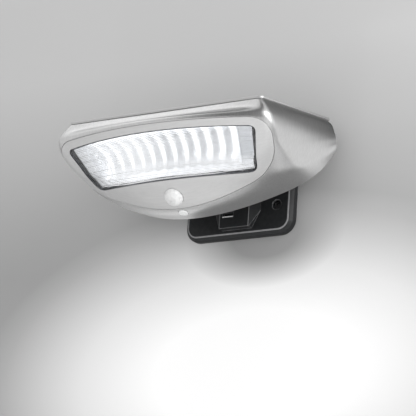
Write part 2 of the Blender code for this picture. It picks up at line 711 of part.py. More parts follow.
def lens():
    look = material("clear_acrylic", (0.93, 0.95, 0.97), 0.08, transmission=0.9)
    made = piece("lens", face_layer("lens", LENS_RECESS, FLANGE_SEAT + FLANGE_WALL / 2), look)
    combine(made, "INTERSECT", face_cutter("lens_outline", LENS, -FIT))
    hollow = cutter("lens_hollow", face_layer("lens_hollow", LENS_RECESS + LENS_WALL, FAR_PAST))
    combine(hollow, "INTERSECT", face_cutter("lens_hollow_outline", LENS, -LENS_SKIRT))
    flange = cutter("lens_flange", face_layer("lens_flange", FLANGE_SEAT, LENS_BACK))
    combine(flange, "INTERSECT", face_cutter("lens_flange_outline", LENS, LENS_FLANGE))
    combine(made, "UNION", flange)
    combine(made, "DIFFERENCE", hollow)
    return made


def lens_seal():
    look = material("grey_rubber", (0.05, 0.05, 0.055), 0.8)
    made = piece("lens_seal", face_layer("lens_seal", SEAL_FRONT, SEAL_FRONT + LENS_SEAL), look)
    combine(made, "INTERSECT", face_cutter("lens_seal_outline", LENS, LENS_FLANGE))
    combine(made, "DIFFERENCE", face_cutter("lens_seal_inner", LENS, FIT))
    return made


# Reflector and lamps, drawn on the front's own loft so that the flutes fan out with it

FRONT_LINES = HALF_LINES[:, :FRONT_STEPS + 1]


def front_point(part, place):
    """A point of the front and its outward direction, at a part of the half-width (-1 to 1)."""
    def at(p, q):
        column = abs(p) * FRONT_STEPS
        low = min(int(column), FRONT_STEPS - 1)
        share = column - low
        line = FRONT_LINES[:, low] * (1 - share) + FRONT_LINES[:, low + 1] * share
        point = between(line, q)
        return point * np.array((math.copysign(1, p), 1, 1))

    step = 0.02
    across = at(part + step, place) - at(part - step, place)
    down = at(part, place + step) - at(part, place - step)
    square = np.cross(down, across)
    return at(part, place), square / np.linalg.norm(square)


def trough_drop(place):
    """A place on the loft as a part of the way down the trough."""
    return (place - REFLECTOR_TOP) / (REFLECTOR_FOOT - REFLECTOR_TOP)


def trough_point(across, place):
    """The front's point and direction over the trough, at a part of its half-width (-1 to 1)."""
    half = REFLECTOR_HALF_TOP + (REFLECTOR_HALF_FOOT - REFLECTOR_HALF_TOP) * trough_drop(place)
    return front_point(across * half / between(FRONT_LINES[:, FRONT_STEPS], place)[0], place)


def trough_floor(across):
    """How deep the trough's middle line lies, without its flutes."""
    return REFLECTOR_DEPTH + REFLECTOR_SAG * (1 - across ** 2)


def trough_depth(across, place):
    """How deep the reflector lies behind the lens's back."""
    drop = trough_drop(place)
    hollow = max(0.0, 4 * drop * (1 - drop)) ** 0.5
    ends = min(1.0, max(0.0, (1 - abs(across)) / END_WALL))
    flute = (1 - math.cos(math.tau * FLUTES * (across + 1) / 2)) / 2
    return hollow * ends * (trough_floor(across) + FLUTE_DEPTH * flute)


def reflector_grids():
    columns = FLUTES * FLUTE_COLUMNS
    stations = [2 * i / columns - 1 for i in range(columns + 1)]
    front, back = [], []
    for drop in TROUGH_ROWS:
        place = REFLECTOR_TOP + drop * (REFLECTOR_FOOT - REFLECTOR_TOP)
        spots = [trough_point(across, place) for across in stations]
        spots = [front_point(-REFLECTOR_BRIM, place)] + spots + [front_point(REFLECTOR_BRIM, place)]
        depths = [REFLECTOR_SEAT + trough_depth(across, place) for across in stations]
        depths = [REFLECTOR_SEAT] + depths + [REFLECTOR_SEAT]
        front.append([spot - out * depth for (spot, out), depth in zip(spots, depths)])
        back.append([spot - out * (depth + REFLECTOR_WALL)
                     for (spot, out), depth in zip(spots, depths)])
    return np.array(front), np.array(back)


LED_PLACE = REFLECTOR_TOP + LED_LINE * (REFLECTOR_FOOT - REFLECTOR_TOP)
LED_STATIONS = [(2 * i + 1) / FLUTES - 1 for i in range(FLUTES)]


def strip_front(across):
    """How deep the front of the lamp strip lies, clear of the back of the flutes."""
    return REFLECTOR_SEAT + trough_floor(across) + FLUTE_DEPTH + REFLECTOR_WALL + FIT


def lamp_place(across):
    """A frame on the front of the lamp strip, Z towards the lens."""
    spot, out = trough_point(across, LED_PLACE)
    out = Vector(out)
    place = out.to_track_quat("Z", "Y").to_matrix().to_4x4()
    place.translation = Vector(spot) - out * strip_front(across)
    return place


def reflector():
    look = material("chromed_reflector", (0.86, 0.87, 0.88), 0.12, metallic=1.0)
    made = piece("reflector", slab("reflector", *reflector_grids()), look)
    combine(made, "INTERSECT", face_cutter("reflector_outline", LENS, LENS_FLANGE))
    bm = bmesh.new()
    for across in LED_STATIONS:
        drill = lamp_place(across) @ Matrix.Translation((0, 0, LED_HEIGHT / 2))
        bmesh.ops.create_cone(bm, cap_ends=True, segments=8, radius1=LED_RADIUS + SLIDE_FIT,
                              radius2=LED_RADIUS + SLIDE_FIT, depth=2 * LED_HEIGHT, matrix=drill)
    combine(made, "DIFFERENCE", cutter("lamp_holes", mesh_from(bm, "lamp_holes")))
    return made


def led_board():
    look = material("white_circuit_board", (0.75, 0.77, 0.76), 0.4)
    half = LED_BOARD_HALF * (REFLECTOR_FOOT - REFLECTOR_TOP)
    stations = [i / FLUTES - 1 for i in range(2 * FLUTES + 1)]
    front, back = [], []
    for place in (LED_PLACE - half, LED_PLACE + half):
        spots = [trough_point(across, place) for across in stations]
        depths = [strip_front(across) for across in stations]
        front.append([spot - out * depth for (spot, out), depth in zip(spots, depths)])
        back.append([spot - out * (depth + LED_BOARD_WALL)
                     for (spot, out), depth in zip(spots, depths)])
    return piece("led_board", slab("led_board", np.array(front), np.array(back)), look)


def leds():
    look = material("white_led", (0.95, 0.95, 0.92), 0.2)
    for number, across in enumerate(LED_STATIONS, start=1):
        name = f"led_{number:02d}"
        bm = bmesh.new()
        middle = Matrix.Translation((0, 0, LED_HEIGHT / 2 + FIT))
        bmesh.ops.create_cone(bm, cap_ends=True, segments=8, radius1=LED_RADIUS,
                              radius2=LED_RADIUS, depth=LED_HEIGHT, matrix=middle)
        crown = [edge for edge in bm.edges if all(v.co.z > LED_HEIGHT / 2 for v in edge.verts)]
        bmesh.ops.bevel(bm, geom=crown, offset=LED_CROWN, segments=1, profile=0.5,
                        affect="EDGES")
        bmesh.ops.transform(bm, matrix=lamp_place(across), verts=bm.verts)
        piece(name, mesh_from(bm, name), look)


# Motion sensor and push button

DOME_PLACE = chin_place(PIR_LINE)
DOME_SEAT = FASCIA_WALL + DOME_GAP
BUTTON_PLACE = chin_place(BUTTON_LINE)
BUTTON_FOOT = BUTTON_SEAT + BUTTON_FLANGE_WALL + BUTTON_STEM
SWITCH_FRONT = BUTTON_FOOT + BUTTON_TRAVEL + FIT
SWITCH_BACK = SWITCH_FRONT + SWITCH_KNOB + SWITCH_BODY


def pir_dome():
    look = material("milky_polythene", (0.85, 0.86, 0.86), 0.35)
    turns = [math.radians(90 * i / DOME_STEPS) for i in range(DOME_STEPS + 1)]
    bore = PIR_RADIUS - PIR_WALL
    rim = PIR_RADIUS + PIR_FLANGE
    back = -DOME_SEAT - PIR_WALL
    profile = [(PIR_RADIUS * math.sin(turn), PIR_RISE * math.cos(turn)) for turn in turns]
    profile += [(PIR_RADIUS, -DOME_SEAT), (rim, -DOME_SEAT), (rim, back), (bore, back)]
    profile += [(bore * math.sin(turn), (PIR_RISE - PIR_WALL) * math.cos(turn))
                for turn in reversed(turns)]
    return piece("pir_dome", spun("pir_dome", DOME_PLACE, profile), look)


def pir_holder():
    look = material("black_abs", (0.03, 0.03, 0.03), 0.5)
    front = -DOME_SEAT - PIR_WALL - FIT
    back = -SENSOR_BOARD_BACK + FIT
    bore = PIR_RADIUS - PIR_WALL
    rim = PIR_RADIUS + PIR_FLANGE
    profile = [(rim, front), (rim, back), (bore, back), (bore, front)]
    return piece("pir_holder", spun("pir_holder", DOME_PLACE, profile), look)


def pir_sensor():
    look = material("nickel_can", (0.6, 0.6, 0.58), 0.3, metallic=1.0)
    back = -SENSOR_BOARD_BACK + FIT
    mesh = cylinder("pir_sensor", DOME_PLACE, SENSOR_CAN_RADIUS, back, back + SENSOR_CAN_HEIGHT)
    return piece("pir_sensor", mesh, look)


def small_board(name, place, width, height, front):
    look = material(name + "_green", (0.02, 0.16, 0.07), 0.4)
    low = (-width / 2, -height / 2, -front - BOARD_WALL)
    high = (width / 2, height / 2, -front)
    mesh = box(name, low, high)
    mesh.transform(place)
    return piece(name, mesh, look)


def sensor_board():
    return small_board("sensor_board", DOME_PLACE, SENSOR_BOARD_SIZE, SENSOR_BOARD_SIZE,
                       SENSOR_BOARD_BACK)


def mode_button():
    """The cap, drawn about its own origin on the shell, Z outwards along its travel."""
    look = material("clear_silicone", (0.80, 0.81, 0.81), 0.3, transmission=0.3)
    mount = bpy.data.objects.new("button_frame", None)
    mount.parent = HEAD
    mount.matrix_local = BUTTON_PLACE
    PARTS.objects.link(mount)
    outline = oval(BUTTON_WIDTH, BUTTON_HEIGHT)
    cap = prism("mode_button", Matrix(), outline, -BUTTON_SEAT - BUTTON_FLANGE_WALL / 2, BUTTON_PROUD)
    bm = bmesh.new()
    bm.from_mesh(cap)
    crown = [edge for edge in bm.edges if all(v.co.z > 0 for v in edge.verts)]
    bmesh.ops.bevel(bm, geom=crown, offset=BUTTON_CROWN, segments=2, profile=0.5,
                    affect="EDGES")
    bm.to_mesh(cap)
    bm.free()
    made = piece("mode_button", cap, look, parent=mount)
    wide = oval(BUTTON_WIDTH + 2 * BUTTON_FLANGE, BUTTON_HEIGHT + 2 * BUTTON_FLANGE)
    flange = prism("button_flange", Matrix(), wide, -BUTTON_SEAT - BUTTON_FLANGE_WALL, -BUTTON_SEAT)
    stem = cylinder("button_stem", Matrix(), SWITCH_PLUNGER, -BUTTON_FOOT, -BUTTON_SEAT)
    combine(made, "UNION", cutter("button_flange", flange, parent=mount))
    combine(made, "UNION", cutter("button_stem", stem, parent=mount))
    return made


def tact_switch():
    look = material("switch_black", (0.02, 0.02, 0.02), 0.5)
    half = SWITCH_SIZE / 2
    low, high = -SWITCH_BACK, -SWITCH_BACK + SWITCH_BODY
    mesh = box("tact_switch", (-half, -half, low), (half, half, high))
    mesh.transform(BUTTON_PLACE)
    made = piece("tact_switch", mesh, look)
    knob = cylinder("switch_knob", BUTTON_PLACE, SWITCH_PLUNGER, (low + high) / 2, -SWITCH_FRONT)
    combine(made, "UNION", cutter("switch_knob", knob))
    return made


def switch_board():
    return small_board("switch_board", BUTTON_PLACE, SWITCH_BOARD_WIDTH, SWITCH_BOARD_HEIGHT,
                       SWITCH_BACK + FIT)


# Solar panel in the top

def rim_outline(inset):
    radius = max(RIM_CORNER - inset, PANEL_CORNER)
    return rounded_rectangle(RIM_WIDTH - 2 * inset, RIM_DEPTH - 2 * inset, radius,
                             (0, RIM_DEPTH / 2))


GASKET_FOOT = SHELL_TOP + FIT
FRAME_FOOT = GASKET_FOOT + GASKET_WALL + FIT
GLASS_INSET = FRAME_WALL + FIT
GLASS_TOP = FRAME_TOP - FRAME_LIP - FIT
GLASS_FOOT = GLASS_TOP - GLASS_WALL
CELL_FOOT = GLASS_FOOT - FIT - CELL_WALL
SHEET_FOOT = CELL_FOOT - FIT - BACKSHEET_WALL
TRAY_TOP = min(SHEET_FOOT, SHELL_TOP) - FIT
TRAY_FOOT = TRAY_TOP - TRAY_WALL
BOARD_TOP = TRAY_FOOT - BOARD_DROP


def rim_frame():
    look = material("polished_steel", (0.62, 0.62, 0.62), 0.22, metallic=1.0)
    mesh = ring("rim_frame", rim_outline(0), rim_outline(FRAME_WALL), FRAME_FOOT, FRAME_TOP)
    made = piece("rim_frame", mesh, look)
    lip = ring("frame_lip", rim_outline(FRAME_WALL / 2), rim_outline(FRAME_WALL + FRAME_LIP_WIDTH),
               FRAME_TOP - FRAME_LIP, FRAME_TOP + FRAME_BEAD)
    combine(made, "UNION", cutter("frame_lip", lip))
    return made


def panel_gasket():
    look = material("black_rubber", (0.015, 0.015, 0.015), 0.8)
    mesh = ring("panel_gasket", rim_outline(GASKET_INSET), rim_outline(GASKET_INSET + GASKET_WIDTH),
                GASKET_FOOT, GASKET_FOOT + GASKET_WALL)
    return piece("panel_gasket", mesh, look)


def panel_glass():
    look = material("panel_glass", (0.75, 0.82, 0.85), 0.05, transmission=0.9)
    mesh = prism("panel_glass", Matrix(), rim_outline(GLASS_INSET), GLASS_FOOT, GLASS_TOP)
    return piece("panel_glass", mesh, look)


def solar_cells():
    """Six dark cells side by side, on one printed layer with a groove between each pair."""
    look = material("silicon", (0.012, 0.018, 0.05), 0.25)
    inset = GLASS_INSET + CELL_MARGIN
    mesh = prism("solar_cells", Matrix(), rim_outline(inset), CELL_FOOT, CELL_FOOT + CELL_WALL)
    made = piece("solar_cells", mesh, look)
    pitch = (RIM_WIDTH - 2 * inset) / CELL_COLUMNS
    for column in range(1, CELL_COLUMNS):
        x = -RIM_HALF + inset + pitch * column
        low = (x - CELL_GROOVE / 2, -PAST, CELL_FOOT + CELL_WALL / 2)
        high = (x + CELL_GROOVE / 2, RIM_DEPTH + PAST, CELL_FOOT + 2 * CELL_WALL)
        name = f"cell_groove_{column}"
        combine(made, "DIFFERENCE", cutter(name, box(name, low, high)))
    return made


def panel_backsheet():
    look = material("white_backsheet", (0.7, 0.7, 0.7), 0.6)
    outline = rim_outline(GLASS_INSET + FIT)
    mesh = prism("panel_backsheet", Matrix(), outline, SHEET_FOOT, SHEET_FOOT + BACKSHEET_WALL)
    return piece("panel_backsheet", mesh, look)


def panel_tray():
    """The plate under the panel, with its ribs, the board's posts and two screw bosses."""
    look = material("black_tray", (0.03, 0.03, 0.032), 0.5)
    inset = SHELL_WALL + SLIDE_FIT
    outline = rounded_rectangle(RIM_WIDTH - 2 * inset, SHELL_DEPTH - 2 * inset, RIM_CORNER,
                                (0, SHELL_DEPTH / 2))
    mesh = prism("panel_tray", Matrix(), outline, TRAY_FOOT, TRAY_TOP)
    made = piece("panel_tray", mesh, look)
    sunk = TRAY_FOOT + TRAY_WALL / 2
    for number in range(TRAY_RIBS):
        y = SHELL_DEPTH * (number + 1) / (TRAY_RIBS + 1) - SHELL_DEPTH / 8
        low = (-RIB_HALF, y - TRAY_WALL / 2, TRAY_FOOT - TRAY_RIB)
        high = (RIB_HALF, y + TRAY_WALL / 2, sunk)
        name = f"tray_rib_{number}"
        combine(made, "UNION", cutter(name, box(name, low, high)))
    for side in (-1, 1):
        for end in (0, 1):
            name = f"board_post_{side}_{end}"
            x = side * (BOARD_WIDTH / 2 - 2 * POST_RADIUS)
            y = BOARD_BACK + 2 * POST_RADIUS + end * (BOARD_DEPTH - 4 * POST_RADIUS)
            post = cylinder(name, Matrix.Translation((x, y, 0)), POST_RADIUS,
                            BOARD_TOP + FIT, sunk, 12)
            combine(made, "UNION", cutter(name, post))
        name = f"cover_boss_{side}"
        foot = COVER_PLACE @ Vector((side * BOSS_SPREAD / 2, BOSS_UP, 0))
        rise = (TRAY_FOOT - BOSS_RADIUS / 2 - foot.z) / COVER_IN.z
        place = COVER_PLACE @ Matrix.Translation((side * BOSS_SPREAD / 2, BOSS_UP, 0))
        boss = cylinder(name, place, BOSS_RADIUS, COVER_RECESS + COVER_WALL + FIT, rise, 16)
        combine(made, "UNION", cutter(name, boss))
    return made


def control_board():
    look = material("green_control_board", (0.02, 0.16, 0.07), 0.4)
    low = (-BOARD_WIDTH / 2, BOARD_BACK, BOARD_TOP - BOARD_WALL)
    high = (BOARD_WIDTH / 2, BOARD_BACK + BOARD_DEPTH, BOARD_TOP)
    made = piece("control_board", box("control_board", low, high), look)
    under = BOARD_TOP - BOARD_WALL / 2
    for can in (CHARGE_COIL, RESERVOIR):
        place = Matrix.Translation((can.x, BOARD_BACK + can.y, 0))
        mesh = cylinder(can.name, place, can.radius, under - BOARD_WALL / 2 - can.height, under, 14)
        combine(made, "UNION", cutter(can.name, mesh))
    low = (CHIP_X, BOARD_BACK + CHIP_Y, under - BOARD_WALL / 2 - CHIP_WALL)
    high = (CHIP_X + CHIP_SIZE, BOARD_BACK + CHIP_Y + CHIP_SIZE, under)
    combine(made, "UNION", cutter("control_chip", box("control_chip", low, high)))
    return made


# Rear cover, dock and battery

def inner_volume():
    """The room inside the shell, carried past both open ends."""
    past = 2 * FAR_PAST
    rows = SKIN - SKIN_OUT * (SHELL_WALL + FIT)
    foot = rows[-1] + np.array(-COVER_IN) * past
    head = rows[0] + np.array((0, 0, past))
    rows = np.concatenate(([head], rows, [foot]))
    bm = bmesh.new()
    loops = [[bm.verts.new(point) for point in row] for row in rows]
    count = len(loops[0])
    for first, second in zip(loops, loops[1:]):
        for j in range(count):
            k = (j + 1) % count
            bm.faces.new((first[j], second[j], second[k], first[k]))
    bm.faces.new(loops[0])
    bm.faces.new(loops[-1])
    return cutter("inner_volume", mesh_from(bm, "inner_volume"))


def housing_wedge(name, inset, past):
    """The housing behind the cover, from the side, carried some way through the cover."""
    tail = HEAD_MATRIX @ TAIL
    keel = HEAD_MATRIX @ KEEL
    lean = (tail.y - keel.y) / (tail.z - keel.z)
    top = HOUSING_TOP - inset
    bottom = HOUSING_BOTTOM + inset
    back = HOUSING_BACK - inset

    def cover_y(height):
        return tail.y + (height - tail.z) * lean - past

    outline = [(back, bottom), (back, top), (cover_y(top), top), (cover_y(bottom), bottom)]
    place = Matrix(((0, 0, 1, 0), (1, 0, 0, 0), (0, 1, 0, 0), (0, 0, 0, 1)))
    half = HOUSING_WIDTH / 2 - inset
    return cutter(name, prism(name, place, outline, -half, half), parent=None)


def back_cover():
    look = material("black_cover", (0.028, 0.029, 0.031), 0.5)
    reach = (TAIL - KEEL).length
    mesh = cover_box("back_cover", RIM_HALF + FAR_PAST, -FAR_PAST, reach + FAR_PAST,
                     COVER_RECESS, COVER_RECESS + COVER_WALL)
    made = piece("back_cover", mesh, look)
    combine(made, "INTERSECT", inner_volume())
    combine(made, "UNION", housing_wedge("housing_outer", 0, COVER_RECESS + COVER_WALL / 2))
    combine(made, "DIFFERENCE", housing_wedge("housing_inner", COVER_WALL, FAR_PAST))
    rail_tip = NECK_FRONT - RAIL_DEPTH
    low = (-DOCK_WIDTH / 2, rail_tip - SLIDE_FIT - DOCK_WALL, HOUSING_BOTTOM + COVER_WALL / 2)
    high = (DOCK_WIDTH / 2, HOUSING_BACK - COVER_WALL / 2, HOUSING_TOP - COVER_WALL / 2)
    combine(made, "UNION", cutter("dock", box("dock", low, high), parent=None))
    groove = prism("dock_groove", Matrix(), rail_outline(SLIDE_FIT), HOUSING_BOTTOM - FAR_PAST,
                   RAIL_TOP)
    combine(made, "DIFFERENCE", cutter("dock_groove", groove, parent=None))
    hole = cover_box("door_hole", DOOR_WIDTH / 2, DOOR_UP - DOOR_HEIGHT / 2,
                     DOOR_UP + DOOR_HEIGHT / 2, -PAST, COVER_WALL + PAST)
    combine(made, "DIFFERENCE", cutter("door_hole", hole))
    return made


def battery_door():
    look = material("black_door", (0.026, 0.027, 0.029), 0.5)
    mesh = cover_box("battery_door", DOOR_WIDTH / 2 - FIT, DOOR_UP - DOOR_HEIGHT / 2 + FIT,
                     DOOR_UP + DOOR_HEIGHT / 2 - FIT, COVER_RECESS, COVER_RECESS + COVER_WALL)
    return piece("battery_door", mesh, look)


HOLDER_FRONT = COVER_RECESS + COVER_WALL + FIT
CELL_IN = HOLDER_FRONT + CELL_CLEAR + CELL_RADIUS
HOLDER_HALF = CELL_LENGTH / 2 + CONTACT_WALL + 3 * FIT
HOLDER_UP = CELLS * CELL_PITCH / 2 + FIT


def battery_holder():
    look = material("holder_black", (0.03, 0.03, 0.03), 0.5)
    depth = CELL_IN + CELL_RADIUS + FIT
    mesh = cover_box("battery_holder", HOLDER_HALF + HOLDER_END, DOOR_UP - HOLDER_UP - HOLDER_WALL,
                     DOOR_UP + HOLDER_UP + HOLDER_WALL, HOLDER_FRONT, depth + HOLDER_WALL)
    made = piece("battery_holder", mesh, look)
    room = cover_box("holder_room", HOLDER_HALF, DOOR_UP - HOLDER_UP, DOOR_UP + HOLDER_UP, 0, depth)
    combine(made, "DIFFERENCE", cutter("holder_room", room))
    return made


def batteries():
    look = material("battery_wrap", (0.10, 0.30, 0.16), 0.35)
    for number in range(CELLS):
        up = DOOR_UP + (number - (CELLS - 1) / 2) * CELL_PITCH
        lying = Matrix.Rotation(math.radians(90), 4, "Y")
        place = COVER_PLACE @ Matrix.Translation((0, up, CELL_IN)) @ lying
        name = f"battery_{number + 1}"
        mesh = cylinder(name, place, CELL_RADIUS, -CELL_LENGTH / 2, CELL_LENGTH / 2, 18)
        piece(name, mesh, look)


def contacts():
    look = material("nickel_contact", (0.6, 0.6, 0.58), 0.3, metallic=1.0)
    for side, name in ((-1, "contact_left"), (1, "contact_right")):
        near = CELL_LENGTH / 2 + FIT
        low = (side * near, DOOR_UP - HOLDER_UP + FIT, CELL_IN - CELL_RADIUS / 2)
        high = (side * (near + CONTACT_WALL), DOOR_UP + HOLDER_UP - FIT, CELL_IN + CELL_RADIUS / 2)
        mesh = box(name, low, high)
        mesh.transform(COVER_PLACE)
        piece(name, mesh, look)


wall_bracket()
shell()
fascia()
lens()
lens_seal()
reflector()
led_board()
leds()
pir_dome()
pir_holder()
pir_sensor()
sensor_board()
mode_button()
tact_switch()
switch_board()
rim_frame()
panel_gasket()
panel_glass()
solar_cells()
panel_backsheet()
panel_tray()
control_board()
back_cover()
battery_door()
battery_holder()
batteries()
contacts()
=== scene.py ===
import functools
import math
from collections import namedtuple

import bmesh
import bpy
from mathutils import Matrix, Quaternion, Vector


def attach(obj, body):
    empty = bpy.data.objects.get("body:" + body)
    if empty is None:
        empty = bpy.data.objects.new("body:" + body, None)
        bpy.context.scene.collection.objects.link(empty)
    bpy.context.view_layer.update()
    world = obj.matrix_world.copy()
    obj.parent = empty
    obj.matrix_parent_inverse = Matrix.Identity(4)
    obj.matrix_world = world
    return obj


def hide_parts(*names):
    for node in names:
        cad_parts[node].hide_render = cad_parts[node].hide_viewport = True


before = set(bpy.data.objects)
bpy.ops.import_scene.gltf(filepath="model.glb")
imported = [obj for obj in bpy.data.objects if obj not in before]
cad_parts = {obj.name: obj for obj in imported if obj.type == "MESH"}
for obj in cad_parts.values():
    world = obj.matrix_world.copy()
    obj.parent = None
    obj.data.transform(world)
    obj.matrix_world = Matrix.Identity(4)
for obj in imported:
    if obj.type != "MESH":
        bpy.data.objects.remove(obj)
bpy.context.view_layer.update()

scene = bpy.context.scene

# The head's own frame: origin at the middle of the rim's front edge, Y back along the top
RIM_WIDTH = 0.252
RIM_DEPTH = 0.152
RIM_OVERHANG = 0.005
RIM_DROP = 0.0022
RIM_CORNER = 0.006
RIM_HALF = RIM_WIDTH / 2
HEAD_TILT = math.radians(8.5)
HEAD_RISE = 0.0455
HEAD_GAP = 0.0267
TAIL_CORNER = 0.008
TAIL_OVERHANG = 0.0010
TAIL_DROP = 0.0400
SHELL_DEPTH = RIM_DEPTH - RIM_OVERHANG
TAIL_SETBACK = SHELL_DEPTH + TAIL_OVERHANG
KEEL_SETBACK = 0.0643
KEEL_DROP = 0.1115
EDGE_SETBACK = 0.1078
EDGE_FALL = KEEL_DROP - (KEEL_DROP - TAIL_DROP) * (
    (EDGE_SETBACK - KEEL_SETBACK) / (TAIL_SETBACK - KEEL_SETBACK))
HEAD_REACH = HEAD_GAP + TAIL_SETBACK * math.cos(HEAD_TILT) + TAIL_DROP * math.sin(HEAD_TILT)
HEAD = Matrix.Translation((0, -HEAD_REACH, HEAD_RISE)) @ Matrix.Rotation(HEAD_TILT, 4, "X")

# The lines that the shell is lofted through, from the rim down to its lower edge
Line = namedtuple("Line", "reach drop flare setback fall tail_flare overhang tail_drop radius")
LINES = (
    Line(0.0000, RIM_DROP, 0.0000, 0.0000, RIM_DROP, 0.0000, 0.0000, RIM_DROP, RIM_CORNER),
    Line(0.0080, 0.0100, 0.0065, -0.0048, 0.0105, 0.0060, 0.0005, 0.0085, 0.007),
    Line(0.0385, 0.0195, 0.0114, -0.0065, 0.0200, 0.0081, 0.0010, 0.0150, 0.008),
    Line(0.0316, 0.0290, 0.0129, -0.0021, 0.0318, 0.0094, 0.0015, 0.0190, 0.009),
    Line(0.0170, 0.0480, 0.0084, 0.0114, 0.0496, 0.0105, 0.0020, 0.0225, 0.012),
    Line(0.0010, 0.0690, 0.0035, 0.0285, 0.0668, 0.0110, 0.0020, 0.0260, 0.028),
    Line(-0.0170, 0.0890, 0.0008, 0.0466, 0.0752, 0.0115, 0.0018, 0.0290, 0.029),
    Line(-0.0370, 0.1075, 0.0004, 0.0721, 0.0761, 0.0110, 0.0015, 0.0330, 0.032),
    Line(-KEEL_SETBACK, KEEL_DROP, 0.0012, EDGE_SETBACK, EDGE_FALL, 0.0064,
         TAIL_OVERHANG, TAIL_DROP, 0.024),
)
NOSE, LENS_TOP, CHIN, TURN, EDGE = 2, 3, 6, 7, 8      # places of some lines in that list
SHELL_WALL = 0.0016
SHELL_ROWS = 96
SHELL_COLUMNS = 200
FRONT_ROWS = 84
FRONT_COLUMNS = 150
FRONT_END = 2.35              # how far round the sides the front's layers reach
FRONT_MIDDLE = Vector((0, -0.03, -0.03))
LOFT_STEP = 0.02              # over which the loft's directions are taken

# Outlines on the sloping front, seen square to it
FACE_SLOPE = math.radians(46.2)
FACE_FLOOR = 0.010
FACE_CEILING = 0.070
Outline = namedtuple("Outline", "top shoulder_x shoulder foot_x foot bottom bulge r_shoulder r_foot")
FASCIA = Outline(-0.0102, 0.1375, 0.0132, 0.1150, 0.0800, 0.0986, 0.0050, 0.022, 0.024)
LENS = Outline(-0.0009, 0.1222, 0.0183, 0.1025, 0.0746, 0.0600, 0.0000, 0.008, 0.010)
EDGE_STEPS = 24
ROUND_STEPS = 10
SEAM = 0.0005
FASCIA_WALL = 0.0024
LENS_FIT = 0.0005
LENS_TOP_GAP = 0.0006         # more gap above the lens than round its other sides
LENS_RECESS = 0.0004
LENS_WALL = 0.0026
LENS_SKIRT = 0.0024
LENS_BACK = 0.0044
SKIRT_LEAN = 0.1              # most that the skirt's walls lean, as a cosine
LENS_HIGH = LENS_TOP - 0.4    # the lens lies between these places of the loft
LENS_LOW = LENS_TOP + 2.6
RIB_PITCH = 0.075             # of the ribs in the lens's back, as a part of the step between loft lines
RIB_HEIGHT = 0.00022
RIB_ROWS = 270
PAST = 0.003

# Reflector trough
TROUGH_SEAT = 0.0061
TROUGH_TOP = LENS_TOP + 0.14
TROUGH_FOOT = LENS_TOP + 2.26
TROUGH_DEPTH = 0.0120
TROUGH_SAG = 0.0060
TROUGH_HALF_TOP = 0.1026
TROUGH_HALF_FOOT = 0.0906
TROUGH_END = 0.06
TROUGH_WALL = 0.0012
TROUGH_REACH = 1.14           # width of the trough with its ends, over that of the flutes
TROUGH_SPILL = 0.1            # how far it runs on above and below, as a part of its drop
FLUTES = 12
FLUTE_DEPTH = 0.0022
FLUTE_COLUMNS = 10
TROUGH_ROWS = 40

# Sensor dome and button
DOME_PLACE = CHIN + 0.21
DOME_RADIUS = 0.0108
DOME_RISE = 0.0085
DOME_SINK = 0.0033
DOME_RINGS = (0.0, 0.30, 0.62, 0.90, 1.0)      # from its top to its foot
DOME_FACETS = 14
FACET_GROOVE = 0.00030
BUTTON_PLACE = TURN + 0.10
BUTTON_WIDTH = 0.0108
BUTTON_HEIGHT = 0.0098
BUTTON_PROUD = 0.0012
BUTTON_SEAT = 0.0030
BUTTON_FIT = 0.0004
BUTTON_ROUND = 0.0006
BUTTON_RINGS = ((0.0006, 0.0), (0.0003, -0.0003), (0.0008, 0.0002), (0.0012, 0.0002))   # width and rise

# Wall bracket
PLATE_WIDTH = 0.142
PLATE_HEIGHT = 0.105
PLATE_DEPTH = 0.0115
PLATE_CORNER = 0.017
PLATE_BEVEL = 0.0045
PLATE_ROUND = 0.0010
PLATE_WALL = 0.0065
RIDGE_LOW, RIDGE_HIGH = 0.75, 0.995            # cosines that the faces of the ridges with a painted highlight turn between
POCKET_DEPTH = 0.0070
POCKET_WIDTH = 0.0240
POCKET_HEIGHT = 0.0370
POCKET_CORNER = 0.003
SCREW_SPREAD = 0.102
SCREW_RISE = 0.038
SCREW_BORE = 0.0026
SCREW_SINK = 0.0060
SCREW_DEPTH = 0.0014          # plate's front to the top of a screw
SCREW_EASE = 0.0003           # of a screw's rounds, and of its shank in the bore
SCREW_TIP = 0.0005
SCREW_SIDES = 40
SCREW_CROSS = 0.0056
SCREW_TURN = 0.5              # radians from one screw's cross to the next one's
RECESS_WIDTH = 0.18           # of a cross recess, as parts of its span
RECESS_DEPTH = 0.3
NECK_WIDTH = 0.039
NECK_FOOT_WIDTH = 0.060
NECK_DEPTH = 0.0080
NECK_BOTTOM = -0.0435
NECK_FLARE_LOW = -0.0385
NECK_FLARE_HIGH = -0.0235
NECK_ROUND = 0.0007
RAIL_DEPTH = 0.0147
RAIL_THROAT = 0.024
RAIL_FACE = 0.036
RAIL_BOTTOM = -0.0125
RAIL_TOP = 0.0205
SLOT_WIDTH = 0.014
SLOT_HEIGHT = 0.0052
SLOT_DEPTH = 0.0040
SLOT_LIP = 0.0010
SLOT_X = -0.0083
SLOT_BOTTOM = -0.0295
PLATE_FRONT = -PLATE_DEPTH
NECK_FRONT = PLATE_FRONT - NECK_DEPTH
UPRIGHT = Matrix.Rotation(math.radians(90), 4, "X")     # turns Z out of the wall

# Rim round the solar panel
FRAME_TOP = 0.0014
FRAME_FOOT = -0.0017
FRAME_LIP = 0.0012
FRAME_BEAD = 0.0004
FRAME_LIP_WIDTH = 0.0050
FRAME_WALL = 0.0067
FRAME_ROUND = 0.0011
PANEL_CORNER = 0.003
CELL_TOP = -0.0029
CELL_INSET = FRAME_WALL + 0.0043
CELL_COLUMNS = 6
CELL_PITCH = (RIM_WIDTH - 2 * CELL_INSET) / CELL_COLUMNS
RIBBON_WALL = 0.00010
BUSBAR_WIDTH = 0.0012
GAP_WIDTH = 0.0022

